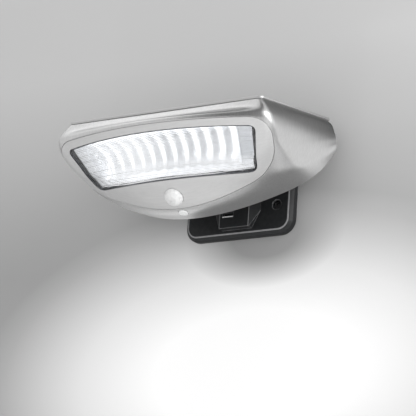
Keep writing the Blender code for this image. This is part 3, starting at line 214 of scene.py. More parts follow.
# Rear cover and battery door
COVER_RECESS = 0.0010
COVER_SCREW_X = 0.095
COVER_SCREW_UP = 0.090        # keel to the screws, along the cover
DOOR_SCREW_UP = 0.052
PAN_PROFILE = ((0, 0.0013), (0.0014, 0.0012), (0.0026, 0.0007), (0.0031, 0.0001), (0.0031, 0), (0, 0))
PAN_CROSS = 0.0036
PAN_TURN = 0.4
GRIP_UP = 0.024
GRIP_RIBS = 4
GRIP_PITCH = 0.0034
GRIP_LENGTH = 0.018
GRIP_WIDTH = 0.0014
GRIP_HEIGHT = 0.0006

# Camera that fits the photograph
CAMERA_PLACE = (1.3430, -2.1430, -0.7737)
CAMERA_AIM = (-0.5218, 0.8035, 0.2865)
CAMERA_ROLL = math.radians(3.929)
CAMERA_LENS = 199.04          # lens and sensor in millimetres
SENSOR_WIDTH = 36


# Node helpers

def node(tree, kind, **settings):
    made = tree.nodes.new(kind)
    for name, value in settings.items():
        setattr(made, name, value)
    return made


def opaque(shade):
    """A colour with its alpha, from three numbers or one grey."""
    return (*shade, 1) if isinstance(shade, tuple) else (shade, shade, shade, 1)


def fill(tree, socket, value):
    """Links a socket to an output, or sets it to a plain value."""
    if isinstance(value, bpy.types.NodeSocket):
        tree.links.new(value, socket)
    else:
        socket.default_value = opaque(value) if socket.type == "RGBA" else value


def fill_named(tree, owner, settings):
    """Fills a node's sockets by their names."""
    for name, value in settings.items():
        fill(tree, owner.inputs[name], value)


def maths(tree, operation, *values):
    """The result of a sum; each value is a number or an output."""
    made = node(tree, "ShaderNodeMath", operation=operation)
    for socket, value in zip(made.inputs, values):
        fill(tree, socket, value)
    return made.outputs[0]


def vectors(tree, operation, first, second):
    """The result of a sum on two vectors."""
    made = node(tree, "ShaderNodeVectorMath", operation=operation)
    fill(tree, made.inputs[0], first)
    fill(tree, made.inputs[1], second)
    return made.outputs["Value" if operation == "DOT_PRODUCT" else "Vector"]


def noise(tree, place, scale, detail):
    made = node(tree, "ShaderNodeTexNoise")
    fill_named(tree, made, {"Vector": place, "Scale": scale, "Detail": detail})
    return made.outputs["Fac"]


def ranged(tree, value, low, high, start=0.0, end=1.0):
    """A value carried from one range to another."""
    made = node(tree, "ShaderNodeMapRange")
    fill_named(tree, made, {
        "Value": value, "From Min": start, "From Max": end, "To Min": low, "To Max": high})
    return made.outputs["Result"]


def mixed(tree, factor, first, second):
    """A colour between two others; each is a colour or an output."""
    made = node(tree, "ShaderNodeMix", data_type="RGBA")
    for place, value in ((0, factor), (6, first), (7, second)):      # sockets of a mix of colours
        fill(tree, made.inputs[place], value)
    return made.outputs[2]


def ramp(tree, factor, stops, interpolation="LINEAR"):
    """A colour ramp; each stop is a place and a grey or a colour."""
    made = node(tree, "ShaderNodeValToRGB")
    made.color_ramp.interpolation = interpolation
    elements = made.color_ramp.elements
    while len(elements) < len(stops):
        elements.new(0.5)
    for element, (place, shade) in zip(elements, stops):
        element.position = place
        element.color = opaque(shade)
    fill(tree, made.inputs["Fac"], factor)
    return made.outputs["Color"]


def new_group(name, inputs, outputs):
    """An empty shader node group with its sockets, and the nodes that carry them."""
    group = bpy.data.node_groups.new(name, "ShaderNodeTree")
    for label, kind, value in inputs:
        group.interface.new_socket(label, in_out="INPUT", socket_type=kind).default_value = value
    for label, kind in outputs:
        group.interface.new_socket(label, in_out="OUTPUT", socket_type=kind)
    return group, node(group, "NodeGroupInput"), node(group, "NodeGroupOutput")


CLOUD = {"scale": 1.0, "detail": 4.0}
SPECK = {"scale": 6.0, "detail": 2.0}
EDGE_WEAR_AND_HIGHLIGHT_NOISE = {"scale": 240.0, "detail": 2.0}
EDGE_START, EDGE_FULL = 0.995, 0.80       # how alike the rounded and the true normals are
BUMP_STRENGTH = 0.6


def grain_group():
    """Cloudy and fine noise on object coordinates, stretched as the input says."""
    group, given, out = new_group(
        "surface_grain", [("Stretch", "NodeSocketVector", (1, 1, 1))],
        [("Mottle", "NodeSocketFloat"), ("Speck", "NodeSocketFloat")])
    place = node(group, "ShaderNodeTexCoord")
    stretched = vectors(group, "MULTIPLY", place.outputs["Object"], given.outputs["Stretch"])
    cloud = noise(group, stretched, **CLOUD)
    fill_named(group, out, {
        "Mottle": ranged(group, cloud, 0.0, 1.0, 0.3, 0.7), "Speck": noise(group, stretched, **SPECK)})
    return group


def edge_group():
    """A mask of the edges, broken up by noise, and normals that round them."""
    group, given, out = new_group(
        "pale_edges_wear_and_highlight", [("Radius", "NodeSocketFloat", 0.0005)],
        [("Mask", "NodeSocketFloat"), ("Normal", "NodeSocketVector")])
    bevel = node(group, "ShaderNodeBevel", samples=6)
    fill(group, bevel.inputs["Radius"], given.outputs["Radius"])
    skin = node(group, "ShaderNodeNewGeometry")
    place = node(group, "ShaderNodeTexCoord")
    alike = vectors(group, "DOT_PRODUCT", bevel.outputs["Normal"], skin.outputs["Normal"])
    edge = ranged(group, alike, 0.0, 1.0, EDGE_START, EDGE_FULL)
    broken = maths(group, "MULTIPLY", edge, noise(group, place.outputs["Object"], **EDGE_WEAR_AND_HIGHLIGHT_NOISE))
    fill_named(group, out, {"Mask": broken, "Normal": bevel.outputs["Normal"]})
    return group


GRAIN = grain_group()
EDGES = edge_group()


# Materials

def blank_material(name):
    made = bpy.data.materials.new(name)
    made.use_nodes = True
    tree = made.node_tree
    return made, tree, tree.nodes["Principled BSDF"]


def grain(tree, stretch):
    """The grain's mottle and speck, in a material."""
    made = node(tree, "ShaderNodeGroup", node_tree=GRAIN)
    made.inputs["Stretch"].default_value = stretch
    return made.outputs["Mottle"], made.outputs["Speck"]


def grained(name, shade, tint, rough, stretch, relief, edge=0.0004, edge_wear_and_highlight=None, metallic=0.0, gloss=0.5):
    """A finish whose colour and roughness vary with a grain, with a fine relief and paler edges: real wear on
    some finishes, a painted highlight on others.
    """
    made, tree, shader = blank_material(name)
    mottle, speck = grain(tree, stretch)
    edges = node(tree, "ShaderNodeGroup", node_tree=EDGES)
    edges.inputs["Radius"].default_value = edge
    colour = mixed(tree, mottle, shade, tint)
    # Paler edges: wear on the screws and rear cover, a painted highlight on the black plastic and the steel
    # shell.
    if edge_wear_and_highlight:
        colour = mixed(tree, edges.outputs["Mask"], colour, edge_wear_and_highlight)
    bump = node(tree, "ShaderNodeBump")
    fill_named(tree, bump, {
        "Strength": BUMP_STRENGTH, "Distance": relief, "Height": speck, "Normal": edges.outputs["Normal"]})
    fill_named(tree, shader, {
        "Base Color": colour, "Roughness": ranged(tree, speck, *rough), "Normal": bump.outputs["Normal"],
        "Metallic": metallic, "Specular IOR Level": gloss})
    return made


EVEN = (300, 300, 300)
COARSE = (120, 120, 120)
BRUSHED_DOWN = (700, 700, 14)
BRUSHED_ACROSS = (10, 600, 600)

# Its pale edges are a painted highlight on the moulding's edges.
black_plastic = grained(
    "black_moulded_plastic", (0.014, 0.015, 0.016), (0.022, 0.023, 0.024), (0.36, 0.52), EVEN, 0.00006,
    edge=0.0009, edge_wear_and_highlight=(0.50, 0.50, 0.51), gloss=0.30)
# A lighter grey on the softened front edges of the plate and neck, as a painted highlight.
painted_ridge_highlight = grained(
    "painted_ridge_highlight", (0.20, 0.20, 0.205), (0.27, 0.27, 0.275), (0.30, 0.40), EVEN, 0.00002)
# Its pale edges are a painted highlight along the shell's edges.
brushed_steel = grained(
    "brushed_steel", 0.66, 0.74, (0.32, 0.40), BRUSHED_DOWN, 0.000012, edge=0.0005, edge_wear_and_highlight=0.92, metallic=1.0)
satin_silver = grained(
    "satin_silver", 0.64, 0.68, (0.36, 0.46), BRUSHED_ACROSS, 0.000010, edge=0.0005, metallic=0.55)
polished_rim = grained(
    "polished_rim", 0.50, 0.56, (0.38, 0.46), BRUSHED_ACROSS, 0.000006, edge=0.0005, metallic=0.6)
grey_rubber = grained(
    "grey_rubber", (0.035, 0.036, 0.042), (0.050, 0.052, 0.060), (0.65, 0.85), EVEN, 0.00005)
black_rubber = grained("black_rubber", 0.14, 0.18, (0.65, 0.85), EVEN, 0.00005)
seal_shade = grained(
    "seal_shade", (0.115, 0.125, 0.150), (0.150, 0.162, 0.190), (0.45, 0.60), EVEN, 0.00002)
white_board = grained("white_board", (0.70, 0.72, 0.71), (0.78, 0.79, 0.78), (0.30, 0.45), COARSE, 0.00002)
green_board = grained(
    "green_board", (0.012, 0.12, 0.05), (0.022, 0.17, 0.075), (0.30, 0.45), COARSE, 0.00003)
inner_black = grained("inner_black", 0.018, (0.032, 0.032, 0.033), (0.45, 0.60), EVEN, 0.00005)
cover_black = grained(
    "cover_black", (0.018, 0.019, 0.020), (0.030, 0.031, 0.032), (0.42, 0.60), EVEN, 0.00007,
    edge=0.0006, edge_wear_and_highlight=(0.07, 0.07, 0.075))
nickel = grained(
    "nickel", (0.52, 0.52, 0.50), (0.62, 0.62, 0.60), (0.22, 0.36), COARSE, 0.00001, metallic=1.0)
# Near-white as a painted highlight on the latch lip.
painted_highlight_lip = grained("painted_highlight_lip", 0.86, 0.94, (0.30, 0.42), COARSE, 0.00001, metallic=0.2)
screw_steel = grained(
    "blackened_screw", (0.10, 0.10, 0.105), (0.17, 0.17, 0.175), (0.28, 0.42), COARSE, 0.00002,
    edge_wear_and_highlight=0.4, metallic=1.0)
battery_wrap = grained("battery_wrap", (0.08, 0.26, 0.13), (0.12, 0.33, 0.18), (0.28, 0.40), COARSE, 0.00002)
white_sheet = grained("white_sheet", 0.66, 0.74, (0.5, 0.65), COARSE, 0.00003)


def clear_glass(name, shade, tint, rough, ior):
    made, tree, shader = blank_material(name)
    mottle, _ = grain(tree, COARSE)
    fill_named(tree, shader, {
        "Base Color": mixed(tree, mottle, shade, tint), "Roughness": ranged(tree, mottle, *rough),
        "Transmission Weight": 1.0, "IOR": ior})
    return made


# Painted light on the reflector, as glow: its streaks, their fade, the bright foot and the haze between.
STREAK = ((0.0, 0.0), (0.17, 0.05), (0.31, 1.0), (0.57, 1.0), (0.78, 0.10), (1.0, 0.0))
STREAK_LAG = 0.28             # of a flute: the streaks slip sideways by up to this much at the left end
STREAK_FADE = ((0.0, 0.8), (0.10, 1.0), (0.70, 1.0), (0.88, 0.5))
FOOT_GLOW = ((0.0, 0.10), (0.68, 0.0), (0.86, 0.28), (1.0, 0.5))
DIM_END, DIM, BRIGHT = (0.20, 0.205, 0.215), (0.29, 0.295, 0.305), (0.46, 0.465, 0.475)
HAZE = ((0.0, DIM_END), (0.015, BRIGHT), (0.30, BRIGHT), (0.50, DIM), (0.985, DIM), (1.0, DIM_END))


def lit_reflector():
    """Bright metal whose glow paints the lamps' light on it: a painted streak of reflected light down each
    flute, painted haze between them, and a painted bright foot.
    """
    made, tree, shader = blank_material("lit_reflector")
    flute = node(tree, "ShaderNodeAttribute", attribute_name="flute").outputs["Fac"]
    drop = node(tree, "ShaderNodeAttribute", attribute_name="drop").outputs["Fac"]
    mottle, speck = grain(tree, (160, 160, 160))
    slipped = maths(tree, "MULTIPLY_ADD", flute, 1 + STREAK_LAG / FLUTES, -STREAK_LAG)
    streak = ramp(tree, maths(tree, "FRACT", slipped), STREAK, "EASE")
    lit = maths(tree, "MULTIPLY", streak, ramp(tree, drop, STREAK_FADE))
    bright = maths(tree, "MAXIMUM", lit, ramp(tree, drop, FOOT_GLOW))
    haze = ramp(tree, ranged(tree, flute, 0.0, 1.0, 0.0, FLUTES), HAZE)
    fill_named(tree, shader, {
        "Emission Color": mixed(tree, bright, haze, 1.0), "Emission Strength": 1.0,
        "Base Color": mixed(tree, mottle, (0.40, 0.41, 0.43), (0.48, 0.49, 0.51)),
        "Roughness": ranged(tree, speck, 0.12, 0.24), "Metallic": 1.0})
    return made


def lit_lamp():
    made, tree, shader = blank_material("lit_lamp")
    mottle, _ = grain(tree, COARSE)
    fill_named(tree, shader, {
        "Emission Color": mixed(tree, mottle, (0.95, 0.96, 1.0), (1.0, 1.0, 0.98)), "Emission Strength": 0.5,
        "Base Color": mixed(tree, mottle, (0.85, 0.85, 0.80), (0.92, 0.92, 0.88)), "Roughness": 0.2})
    return made


def milky(name, shade, tint, rough, through):
    """A milky plastic that lets some light through."""
    made = grained(name, shade, tint, rough, EVEN, 0.00002)
    tree = made.node_tree
    fill_named(tree, tree.nodes["Principled BSDF"], {
        "Subsurface Weight": through, "Subsurface Radius": (0.002, 0.002, 0.002)})
    return made


def silicon_cells():
    """Dark blue cells with fine silver fingers across them."""
    made, tree, shader = blank_material("silicon_cells")
    place = node(tree, "ShaderNodeTexCoord")
    fingers = node(tree, "ShaderNodeTexWave", wave_type="BANDS", bands_direction="Y")
    fill_named(tree, fingers, {"Vector": place.outputs["Object"], "Scale": 140.0})
    mottle, speck = grain(tree, (45, 45, 45))
    cell = mixed(tree, mottle, (0.006, 0.010, 0.034), (0.012, 0.022, 0.065))
    line = ranged(tree, fingers.outputs["Fac"], 0.0, 1.0, 0.93, 0.99)
    fill_named(tree, shader, {
        "Base Color": mixed(tree, line, cell, (0.30, 0.32, 0.36)),
        "Roughness": ranged(tree, speck, 0.20, 0.34)})
    return made


clear_lens = clear_glass("clear_acrylic", (0.97, 0.978, 0.985), (0.985, 0.99, 0.992), (0.02, 0.05), 1.49)
top_glass = clear_glass("panel_glass", (0.86, 0.90, 0.92), (0.92, 0.95, 0.96), (0.03, 0.07), 1.5)
reflector_lit = lit_reflector()
lamp_lit = lit_lamp()
milky_polythene = milky("milky_polythene", (0.76, 0.765, 0.765), 0.84, (0.30, 0.42), 0.08)
clear_silicone = milky("clear_silicone", (0.82, 0.83, 0.83), (0.88, 0.89, 0.89), (0.22, 0.34), 0.35)
silicon = silicon_cells()


# Mesh helpers

def new_object(name, data):
    made = bpy.data.objects.new(name, data)
    scene.collection.objects.link(made)
    return made


def mesh_object(name, bm):
    mesh = bpy.data.meshes.new(name)
    bm.to_mesh(mesh)
    bm.free()
    return new_object(name, mesh)


def closed_object(name, bm, place=Matrix()):
    """An object of a closed mesh, moved to its frame and with its faces turned outwards."""
    bmesh.ops.transform(bm, matrix=place, verts=bm.verts)
    bmesh.ops.recalc_face_normals(bm, faces=bm.faces)
    return mesh_object(name, bm)


def settle(made, *steps):
    """Joins or cuts a piece with tools, in order, fixes the modifiers into its mesh and removes the tools."""
    for operation, tool in steps:
        step = made.modifiers.new(tool.name, "BOOLEAN")
        step.operation = operation
        step.solver = "MANIFOLD"
        step.object = tool
    graph = bpy.context.evaluated_depsgraph_get()
    mesh = bpy.data.meshes.new_from_object(made.evaluated_get(graph))
    mesh.name = made.name
    made.modifiers.clear()
    made.data = mesh
    for _, tool in steps:
        bpy.data.objects.remove(tool)


def dress(made, body, look, replaces=(), sharp=30):
    """Finishes a piece: shading, material, and the body it rides on."""
    mesh = made.data
    mesh.materials.clear()
    mesh.materials.append(look)
    mesh.shade_smooth()
    mesh.set_sharp_from_angle(angle=math.radians(sharp))
    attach(made, body)
    if replaces:
        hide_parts(*replaces)


# The head's skin

def line_point(line, around):
    """A point on the right half of a line: 0-1 front, 1-2 corner, 2-3 side, 3-4 tail, 4-5 back."""
    corner_x = RIM_HALF + line.flare
    corner = Vector((corner_x, line.setback, -line.fall))
    tail = Vector((RIM_HALF + line.tail_flare, SHELL_DEPTH + line.overhang, -line.tail_drop))
    back = Vector((0, tail.y, tail.z))
    front_end = 1 - line.radius / corner_x

    def front(part):
        y = -line.reach + (line.setback + line.reach) * part ** 2
        z = -line.drop + (line.drop - line.fall) * part ** 2
        return Vector((corner_x * part, y, z))

    side = (tail - corner).normalized()
    side_start = corner + side * line.radius
    side_end = tail - side * TAIL_CORNER
    back_start = tail + (back - tail).normalized() * TAIL_CORNER
    step = min(int(around), 4)
    part = around - step
    if step == 0:
        return front(front_end * part)
    if step == 1:
        return arc(front(front_end), corner, side_start, part)
    if step == 2:
        return side_start.lerp(side_end, part)
    if step == 3:
        return arc(side_end, tail, back_start, part)
    return back_start.lerp(back, part)


def arc(start, control, end, part):
    return (1 - part) ** 2 * start + 2 * part * (1 - part) * control + part ** 2 * end


def between(points, place):
    """A smooth curve through a column of points, read at a place such as 2.5."""
    last = len(points) - 1
    first = min(int(place), last - 1)
    part = place - first
    p1, p2 = points[first], points[first + 1]
    before = points[first - 1] if first else 2 * p1 - p2
    after = points[first + 2] if first + 2 <= last else 2 * p2 - p1
    span = (p2 - p1).length
    slope_1 = span * ((p1 - before).normalized() + (p2 - p1).normalized()) / 2
    slope_2 = span * ((p2 - p1).normalized() + (after - p2).normalized()) / 2
    a, b = part ** 2, part ** 3
    return ((2 * b - 3 * a + 1) * p1 + (b - 2 * a + part) * slope_1
            + (3 * a - 2 * b) * p2 + (b - a) * slope_2)


@functools.lru_cache(maxsize=None)
def column(around):
    """The points of all lines at one place round the head; negative is the left half."""
    side = -1 if around < 0 else 1
    points = [line_point(line, abs(around)) for line in LINES]
    return [Vector((side * point.x, point.y, point.z)) for point in points]


def grid_on_skin(columns, rows, spread, top, foot):
    """A grid laid on the skin between two places of the loft and round both sides."""
    bm = bmesh.new()
    bmesh.ops.create_grid(bm, x_segments=columns, y_segments=rows, size=0.5)
    kept = bm.verts.layers.float.new("place")
    for vert in bm.verts:
        place = top + (foot - top) * (0.5 - vert.co.y)
        vert[kept] = place
        vert.co = between(column(spread(round(2 * vert.co.x, 6))), place)
    bmesh.ops.recalc_face_normals(bm, faces=bm.faces)
    middle = min(bm.faces, key=lambda face: (face.calc_center_median() - FRONT_MIDDLE).length)
    middle.normal_update()
    if middle.normal.y > 0:
        bmesh.ops.reverse_faces(bm, faces=bm.faces)
    return bm


def spread(shares, places):
    """A rule that turns a share of one half's columns into a place round the head."""
    def rule(share):
        size = abs(share)
        last = len(shares) - 2
        step = next((i for i in range(last) if size <= shares[i + 1]), last)
        span = places[step + 1] - places[step]
        part = span * (size - shares[step]) / (shares[step + 1] - shares[step])
        return math.copysign(places[step] + part, share)

    return rule


# Columns lie closer together on the corners; those of the front end a little way round the sides
spread_round = spread((0.0, 0.50, 0.62, 0.86, 0.92, 1.0), (0, 1, 2, 3, 4, 5))
spread_front = spread((0.0, 0.72, 0.93, 1.0), (0, 1, 2, FRONT_END))


def front_layer(name, outer, inner, top=NOSE, foot=EDGE, rows=FRONT_ROWS, relief=None):
    """A layer of the sloping front between two depths behind its surface."""
    bm = grid_on_skin(FRONT_COLUMNS, rows, spread_front, top, foot)
    bm.normal_update()
    kept = bm.verts.layers.float["place"]
    inside = {vert: vert.co - vert.normal * inner for vert in bm.verts}
    for vert in bm.verts:
        raised = vert.normal * relief(vert[kept]) if relief else Vector()
        vert.co = vert.co - vert.normal * outer - raised
    copied = bmesh.ops.duplicate(bm, geom=list(bm.faces))
    for old, new in copied["vert_map"].items():
        if old in inside:
            new.co = inside[old]
    faces = [item for item in copied["geom"] if isinstance(item, bmesh.types.BMFace)]
    bmesh.ops.reverse_faces(bm, faces=faces)
    bmesh.ops.bridge_loops(bm, edges=[edge for edge in bm.edges if edge.is_boundary])
    return closed_object(name, bm)


FACE_FRAME = Matrix((
    (1, 0, 0, 0),
    (0, -math.cos(FACE_SLOPE), -math.sin(FACE_SLOPE), 0),
    (0, math.sin(FACE_SLOPE), -math.cos(FACE_SLOPE), 0),
    (0, 0, 0, 1)))


def face_outline(shape, grow=0.0):
    """A shield outline with arched top and bottom edges, grown outwards all round."""
    shoulder = Vector((shape.shoulder_x, shape.shoulder))
    foot = Vector((shape.foot_x, shape.foot))

    def top(part):
        return Vector((shoulder.x * part, shape.top + (shoulder.y - shape.top) * part ** 2))

    def bottom(part):
        return Vector((foot.x * part, shape.bottom + (foot.y - shape.bottom) * part ** 2))

    def side(part):
        return shoulder.lerp(foot, part) + Vector((4 * shape.bulge * part * (1 - part), 0))

    length = (foot - shoulder).length
    top_end = 1 - shape.r_shoulder / shoulder.x
    foot_start = 1 - shape.r_foot / foot.x
    leave, arrive = shape.r_shoulder / length, 1 - shape.r_foot / length
    half = [top(top_end * i / EDGE_STEPS) for i in range(EDGE_STEPS + 1)]
    half += [arc(top(top_end), shoulder, side(leave), i / ROUND_STEPS) for i in range(1, ROUND_STEPS + 1)]
    half += [side(leave + (arrive - leave) * i / ROUND_STEPS) for i in range(1, ROUND_STEPS)]
    half += [arc(side(arrive), foot, bottom(foot_start), i / ROUND_STEPS) for i in range(ROUND_STEPS + 1)]
    half += [bottom(foot_start * (1 - i / EDGE_STEPS)) for i in range(1, EDGE_STEPS + 1)]
    loop = half + [Vector((-point.x, point.y)) for point in reversed(half[1:-1])]
    grown = []
    for i, point in enumerate(loop):
        ahead = (loop[(i + 1) % len(loop)] - loop[i - 1]).normalized()
        grown.append((point.x + grow * ahead.y, -point.y + grow * ahead.x))
    return grown


def extrude(bm, face, height):
    """Carries a face along Z, which leaves a closed solid."""
    grown = bmesh.ops.extrude_face_region(bm, geom=[face])
    moved = [item for item in grown["geom"] if isinstance(item, bmesh.types.BMVert)]
    bmesh.ops.translate(bm, verts=moved, vec=(0, 0, height))


def prism(name, outline, low, high, place=FACE_FRAME):
    """A flat outline carried along the Z of its frame."""
    bm = bmesh.new()
    face = bm.faces.new([bm.verts.new((x, y, low)) for x, y in outline])
    extrude(bm, face, high - low)
    return closed_object(name, bm, place)


def outline_tool(name, shape, grow=0.0):
    return prism(name, face_outline(shape, grow), FACE_FLOOR, FACE_CEILING)


def chin_frame(place):
    """A frame on the middle of the front: Y up the slope, Z outwards."""
    middle = column(0.0)
    up = (between(middle, place - LOFT_STEP) - between(middle, place + LOFT_STEP)).normalized()
    out = Vector((1, 0, 0)).cross(up)
    made = Matrix((Vector((1, 0, 0)), up, out)).transposed().to_4x4()
    made.translation = between(middle, place)
    return made


def oval(width, height, steps=48):
    turns = [math.tau * i / steps for i in range(steps)]
    return [(width / 2 * math.cos(turn), height / 2 * math.sin(turn)) for turn in turns]


def in_head(made):
    """Moves a mesh drawn in the head's frame to its place."""
    made.data.transform(HEAD)
    return made


# Shell, fascia and lens

def shell_skin():
    bm = grid_on_skin(SHELL_COLUMNS, SHELL_ROWS, spread_round, 0, EDGE)
    bmesh.ops.remove_doubles(bm, verts=bm.verts, dist=1e-6)
    made = mesh_object("shell_skin", bm)
    wall = made.modifiers.new("wall", "SOLIDIFY")
    wall.thickness = SHELL_WALL
    wall.offset = -1
    opening = front_layer("opening", -PAST, 2 * SHELL_WALL + PAST)
    settle(opening, ("INTERSECT", outline_tool("opening_outline", FASCIA)))
    fit = 2 * BUTTON_FIT
    hole = prism("button_hole", oval(BUTTON_WIDTH + fit, BUTTON_HEIGHT + fit), -SHELL_WALL - PAST, PAST,
                 chin_frame(BUTTON_PLACE))
    settle(made, ("DIFFERENCE", opening), ("DIFFERENCE", hole))
    dress(in_head(made), "head", brushed_steel, ["shell"])


def fascia_panel():
    made = front_layer("fascia_panel", 0, FASCIA_WALL)
    hole = prism("dome_hole", oval(2 * DOME_RADIUS + LENS_FIT, 2 * DOME_RADIUS + LENS_FIT), -PAST, PAST,
                 chin_frame(DOME_PLACE))
    settle(made, ("INTERSECT", outline_tool("fascia_outline", FASCIA, -SEAM)),
           ("DIFFERENCE", outline_tool("lens_window", LENS)), ("DIFFERENCE", hole))
    dress(in_head(made), "head", satin_silver, ["fascia"])


def rib(place):
    """How far the lens's ribs stand out at a place of the loft."""
    return RIB_HEIGHT * abs(math.sin(math.pi * place / RIB_PITCH))


def ribbed_lens():
    """The clear cover: a ribbed back, and a skirt whose walls show the dark seal round it."""
    made = front_layer("ribbed_lens", LENS_RECESS, LENS_BACK, LENS_HIGH, LENS_LOW)
    edge = LENS._replace(top=LENS.top + LENS_TOP_GAP, shoulder=LENS.shoulder + LENS_TOP_GAP)
    hollow = front_layer("lens_hollow", LENS_RECESS + LENS_WALL, LENS_BACK + PAST, LENS_HIGH, LENS_LOW,
                         RIB_ROWS, rib)
    settle(hollow, ("INTERSECT", outline_tool("hollow_outline", LENS, -LENS_SKIRT)))
    settle(made, ("INTERSECT", outline_tool("lens_outline", edge, -LENS_FIT)), ("DIFFERENCE", hollow))
    dress(made, "head", clear_lens, ["lens"])
    made.data.materials.append(seal_shade)
    out = FACE_FRAME.col[2].to_3d()
    middle = sum((vert.co for vert in made.data.vertices), Vector()) / len(made.data.vertices)
    for face in made.data.polygons:
        if abs(face.normal.dot(out)) < SKIRT_LEAN and face.normal.dot(face.center - middle) > 0:
            face.material_index = 1
    in_head(made)


# Reflector

def front_at(part, place):
    """A point of the front at a part of its half-width, with its outward direction."""
    def at(p, q):
        return between(column(math.copysign(min(abs(p), 2.0), p)), q)

    across = at(part + LOFT_STEP, place) - at(part - LOFT_STEP, place)
    down = at(part, place + LOFT_STEP) - at(part, place - LOFT_STEP)
    return at(part, place), down.cross(across).normalized()


def trough_point(across, drop):
    """A point of the fluted trough: across from -1 to 1 over the flutes, drop from 0 to 1."""
    place = TROUGH_TOP + drop * (TROUGH_FOOT - TROUGH_TOP)
    half = TROUGH_HALF_TOP + (TROUGH_HALF_FOOT - TROUGH_HALF_TOP) * drop
    spot, out = front_at(across * half / between(column(1.0), place).x, place)
    hollow = max(0.0, 4 * drop * (1 - drop)) ** 0.5
    ends = min(1.0, max(0.0, (1 - abs(across)) / TROUGH_END))
    flute = (1 - math.cos(math.tau * FLUTES * (across + 1) / 2)) / 2
    floor = TROUGH_DEPTH + TROUGH_SAG * (1 - across ** 2)
    return spot - out * (TROUGH_SEAT + hollow * ends * (floor + FLUTE_DEPTH * flute))


def fluted_reflector():
    bm = bmesh.new()
    columns = round(FLUTES * FLUTE_COLUMNS * TROUGH_REACH)
    bmesh.ops.create_grid(bm, x_segments=columns, y_segments=TROUGH_ROWS, size=0.5)
    flute = bm.verts.layers.float.new("flute")
    depth = bm.verts.layers.float.new("drop")
    for vert in bm.verts:
        across = 2 * vert.co.x * TROUGH_REACH
        drop = (0.5 - vert.co.y) * (1 + 2 * TROUGH_SPILL) - TROUGH_SPILL
        vert[flute] = (min(1.0, max(-1.0, across)) + 1) / 2 * FLUTES
        vert[depth] = min(1.0, max(0.0, drop))
        vert.co = trough_point(across, drop)
    bmesh.ops.recalc_face_normals(bm, faces=bm.faces)
    made = mesh_object("fluted_reflector", bm)
    wall = made.modifiers.new("wall", "SOLIDIFY")
    wall.thickness = TROUGH_WALL
    wall.offset = 0
    settle(made)
    dress(in_head(made), "head", reflector_lit, ["reflector"], sharp=60)


# Sensor dome and button

def faceted_dome():
    """The sensor's lens: rings of flat facets with fine grooves between them, on a short collar."""
    turns = [ring * math.pi / 2 for ring in DOME_RINGS]
    profile = [(DOME_RADIUS * math.sin(turn), DOME_RISE * math.cos(turn)) for turn in turns]
    profile += [(DOME_RADIUS, -DOME_SINK), (0, -DOME_SINK)]
    bm = turned(profile, DOME_FACETS, Matrix())
    facets = [face for face in bm.faces if face.calc_center_median().z > 0]
    bmesh.ops.inset_individual(bm, faces=facets, thickness=FACET_GROOVE, depth=FACET_GROOVE)
    made = closed_object("faceted_dome", bm, HEAD @ chin_frame(DOME_PLACE))
    dress(made, "head", milky_polythene, ["pir_dome"], sharp=12)


def oval_button():
    """A soft oval cap: crowned middle, a groove and a raised border."""
    bm = bmesh.new()
    face = bm.faces.new([bm.verts.new((x, y, -BUTTON_SEAT)) for x, y in oval(BUTTON_WIDTH, BUTTON_HEIGHT)])
    extrude(bm, face, BUTTON_SEAT + BUTTON_PROUD)
    cap = max(bm.faces, key=lambda item: item.calc_center_median().z)
    soften(bm, list(cap.edges), BUTTON_ROUND, 4)
    cap = max(bm.faces, key=lambda item: item.calc_center_median().z)
    for thickness, depth in BUTTON_RINGS:
        bmesh.ops.inset_region(bm, faces=[cap], thickness=thickness, depth=depth)
    made = closed_object("oval_button", bm, HEAD @ chin_frame(BUTTON_PLACE))
    dress(made, "button", clear_silicone, ["mode_button"], sharp=50)


# Wall bracket

def block(low, high):
    """A box between two corners."""
    low, high = Vector(low), Vector(high)
    bm = bmesh.new()
    bmesh.ops.create_cube(bm, size=1, matrix=Matrix.Translation((low + high) / 2)
                          @ Matrix.Diagonal((*(high - low), 1)))
    return bm


def running(bm, axis):
    """The edges that run along an axis."""
    return [edge for edge in bm.edges
            if abs((edge.verts[0].co - edge.verts[1].co).normalized()[axis]) > 0.999]


def lying(bm, axis, *values):
    """The edges that lie whole at one of some values of an axis."""
    return [edge for edge in bm.edges for value in values
            if all(abs(vert.co[axis] - value) < 1e-6 for vert in edge.verts)]


def soften(bm, edges, offset, segments):
    bmesh.ops.bevel(bm, geom=edges, offset=offset, segments=segments, profile=0.5, affect="EDGES",
                    material=-1)


def turned(profile, steps, place):
    """A profile of radii and heights turned round the Z of its frame."""
    bm = bmesh.new()
    verts = [bm.verts.new((radius, 0, height)) for radius, height in profile]
    edges = [bm.edges.new(pair) for pair in zip(verts, verts[1:])]
    bmesh.ops.spin(bm, geom=verts + edges, cent=(0, 0, 0), axis=(0, 0, 1), angle=math.tau, steps=steps,
                   use_merge=True)
    bmesh.ops.transform(bm, matrix=place, verts=bm.verts)
    bmesh.ops.remove_doubles(bm, verts=bm.verts, dist=1e-7)
    bmesh.ops.recalc_face_normals(bm, faces=bm.faces)
    return bm


def plate():
    """The wall plate: round corners and a chamfer whose edges are softened."""
    bm = block((-PLATE_WIDTH / 2, PLATE_FRONT, -PLATE_HEIGHT / 2), (PLATE_WIDTH / 2, 0, PLATE_HEIGHT / 2))
    soften(bm, running(bm, 1), PLATE_CORNER, 14)
    soften(bm, lying(bm, 1, PLATE_FRONT), PLATE_BEVEL, 1)
    soften(bm, lying(bm, 1, PLATE_FRONT, PLATE_FRONT + PLATE_BEVEL), PLATE_ROUND, 3)
    return mesh_object("bracket_moulding", bm)


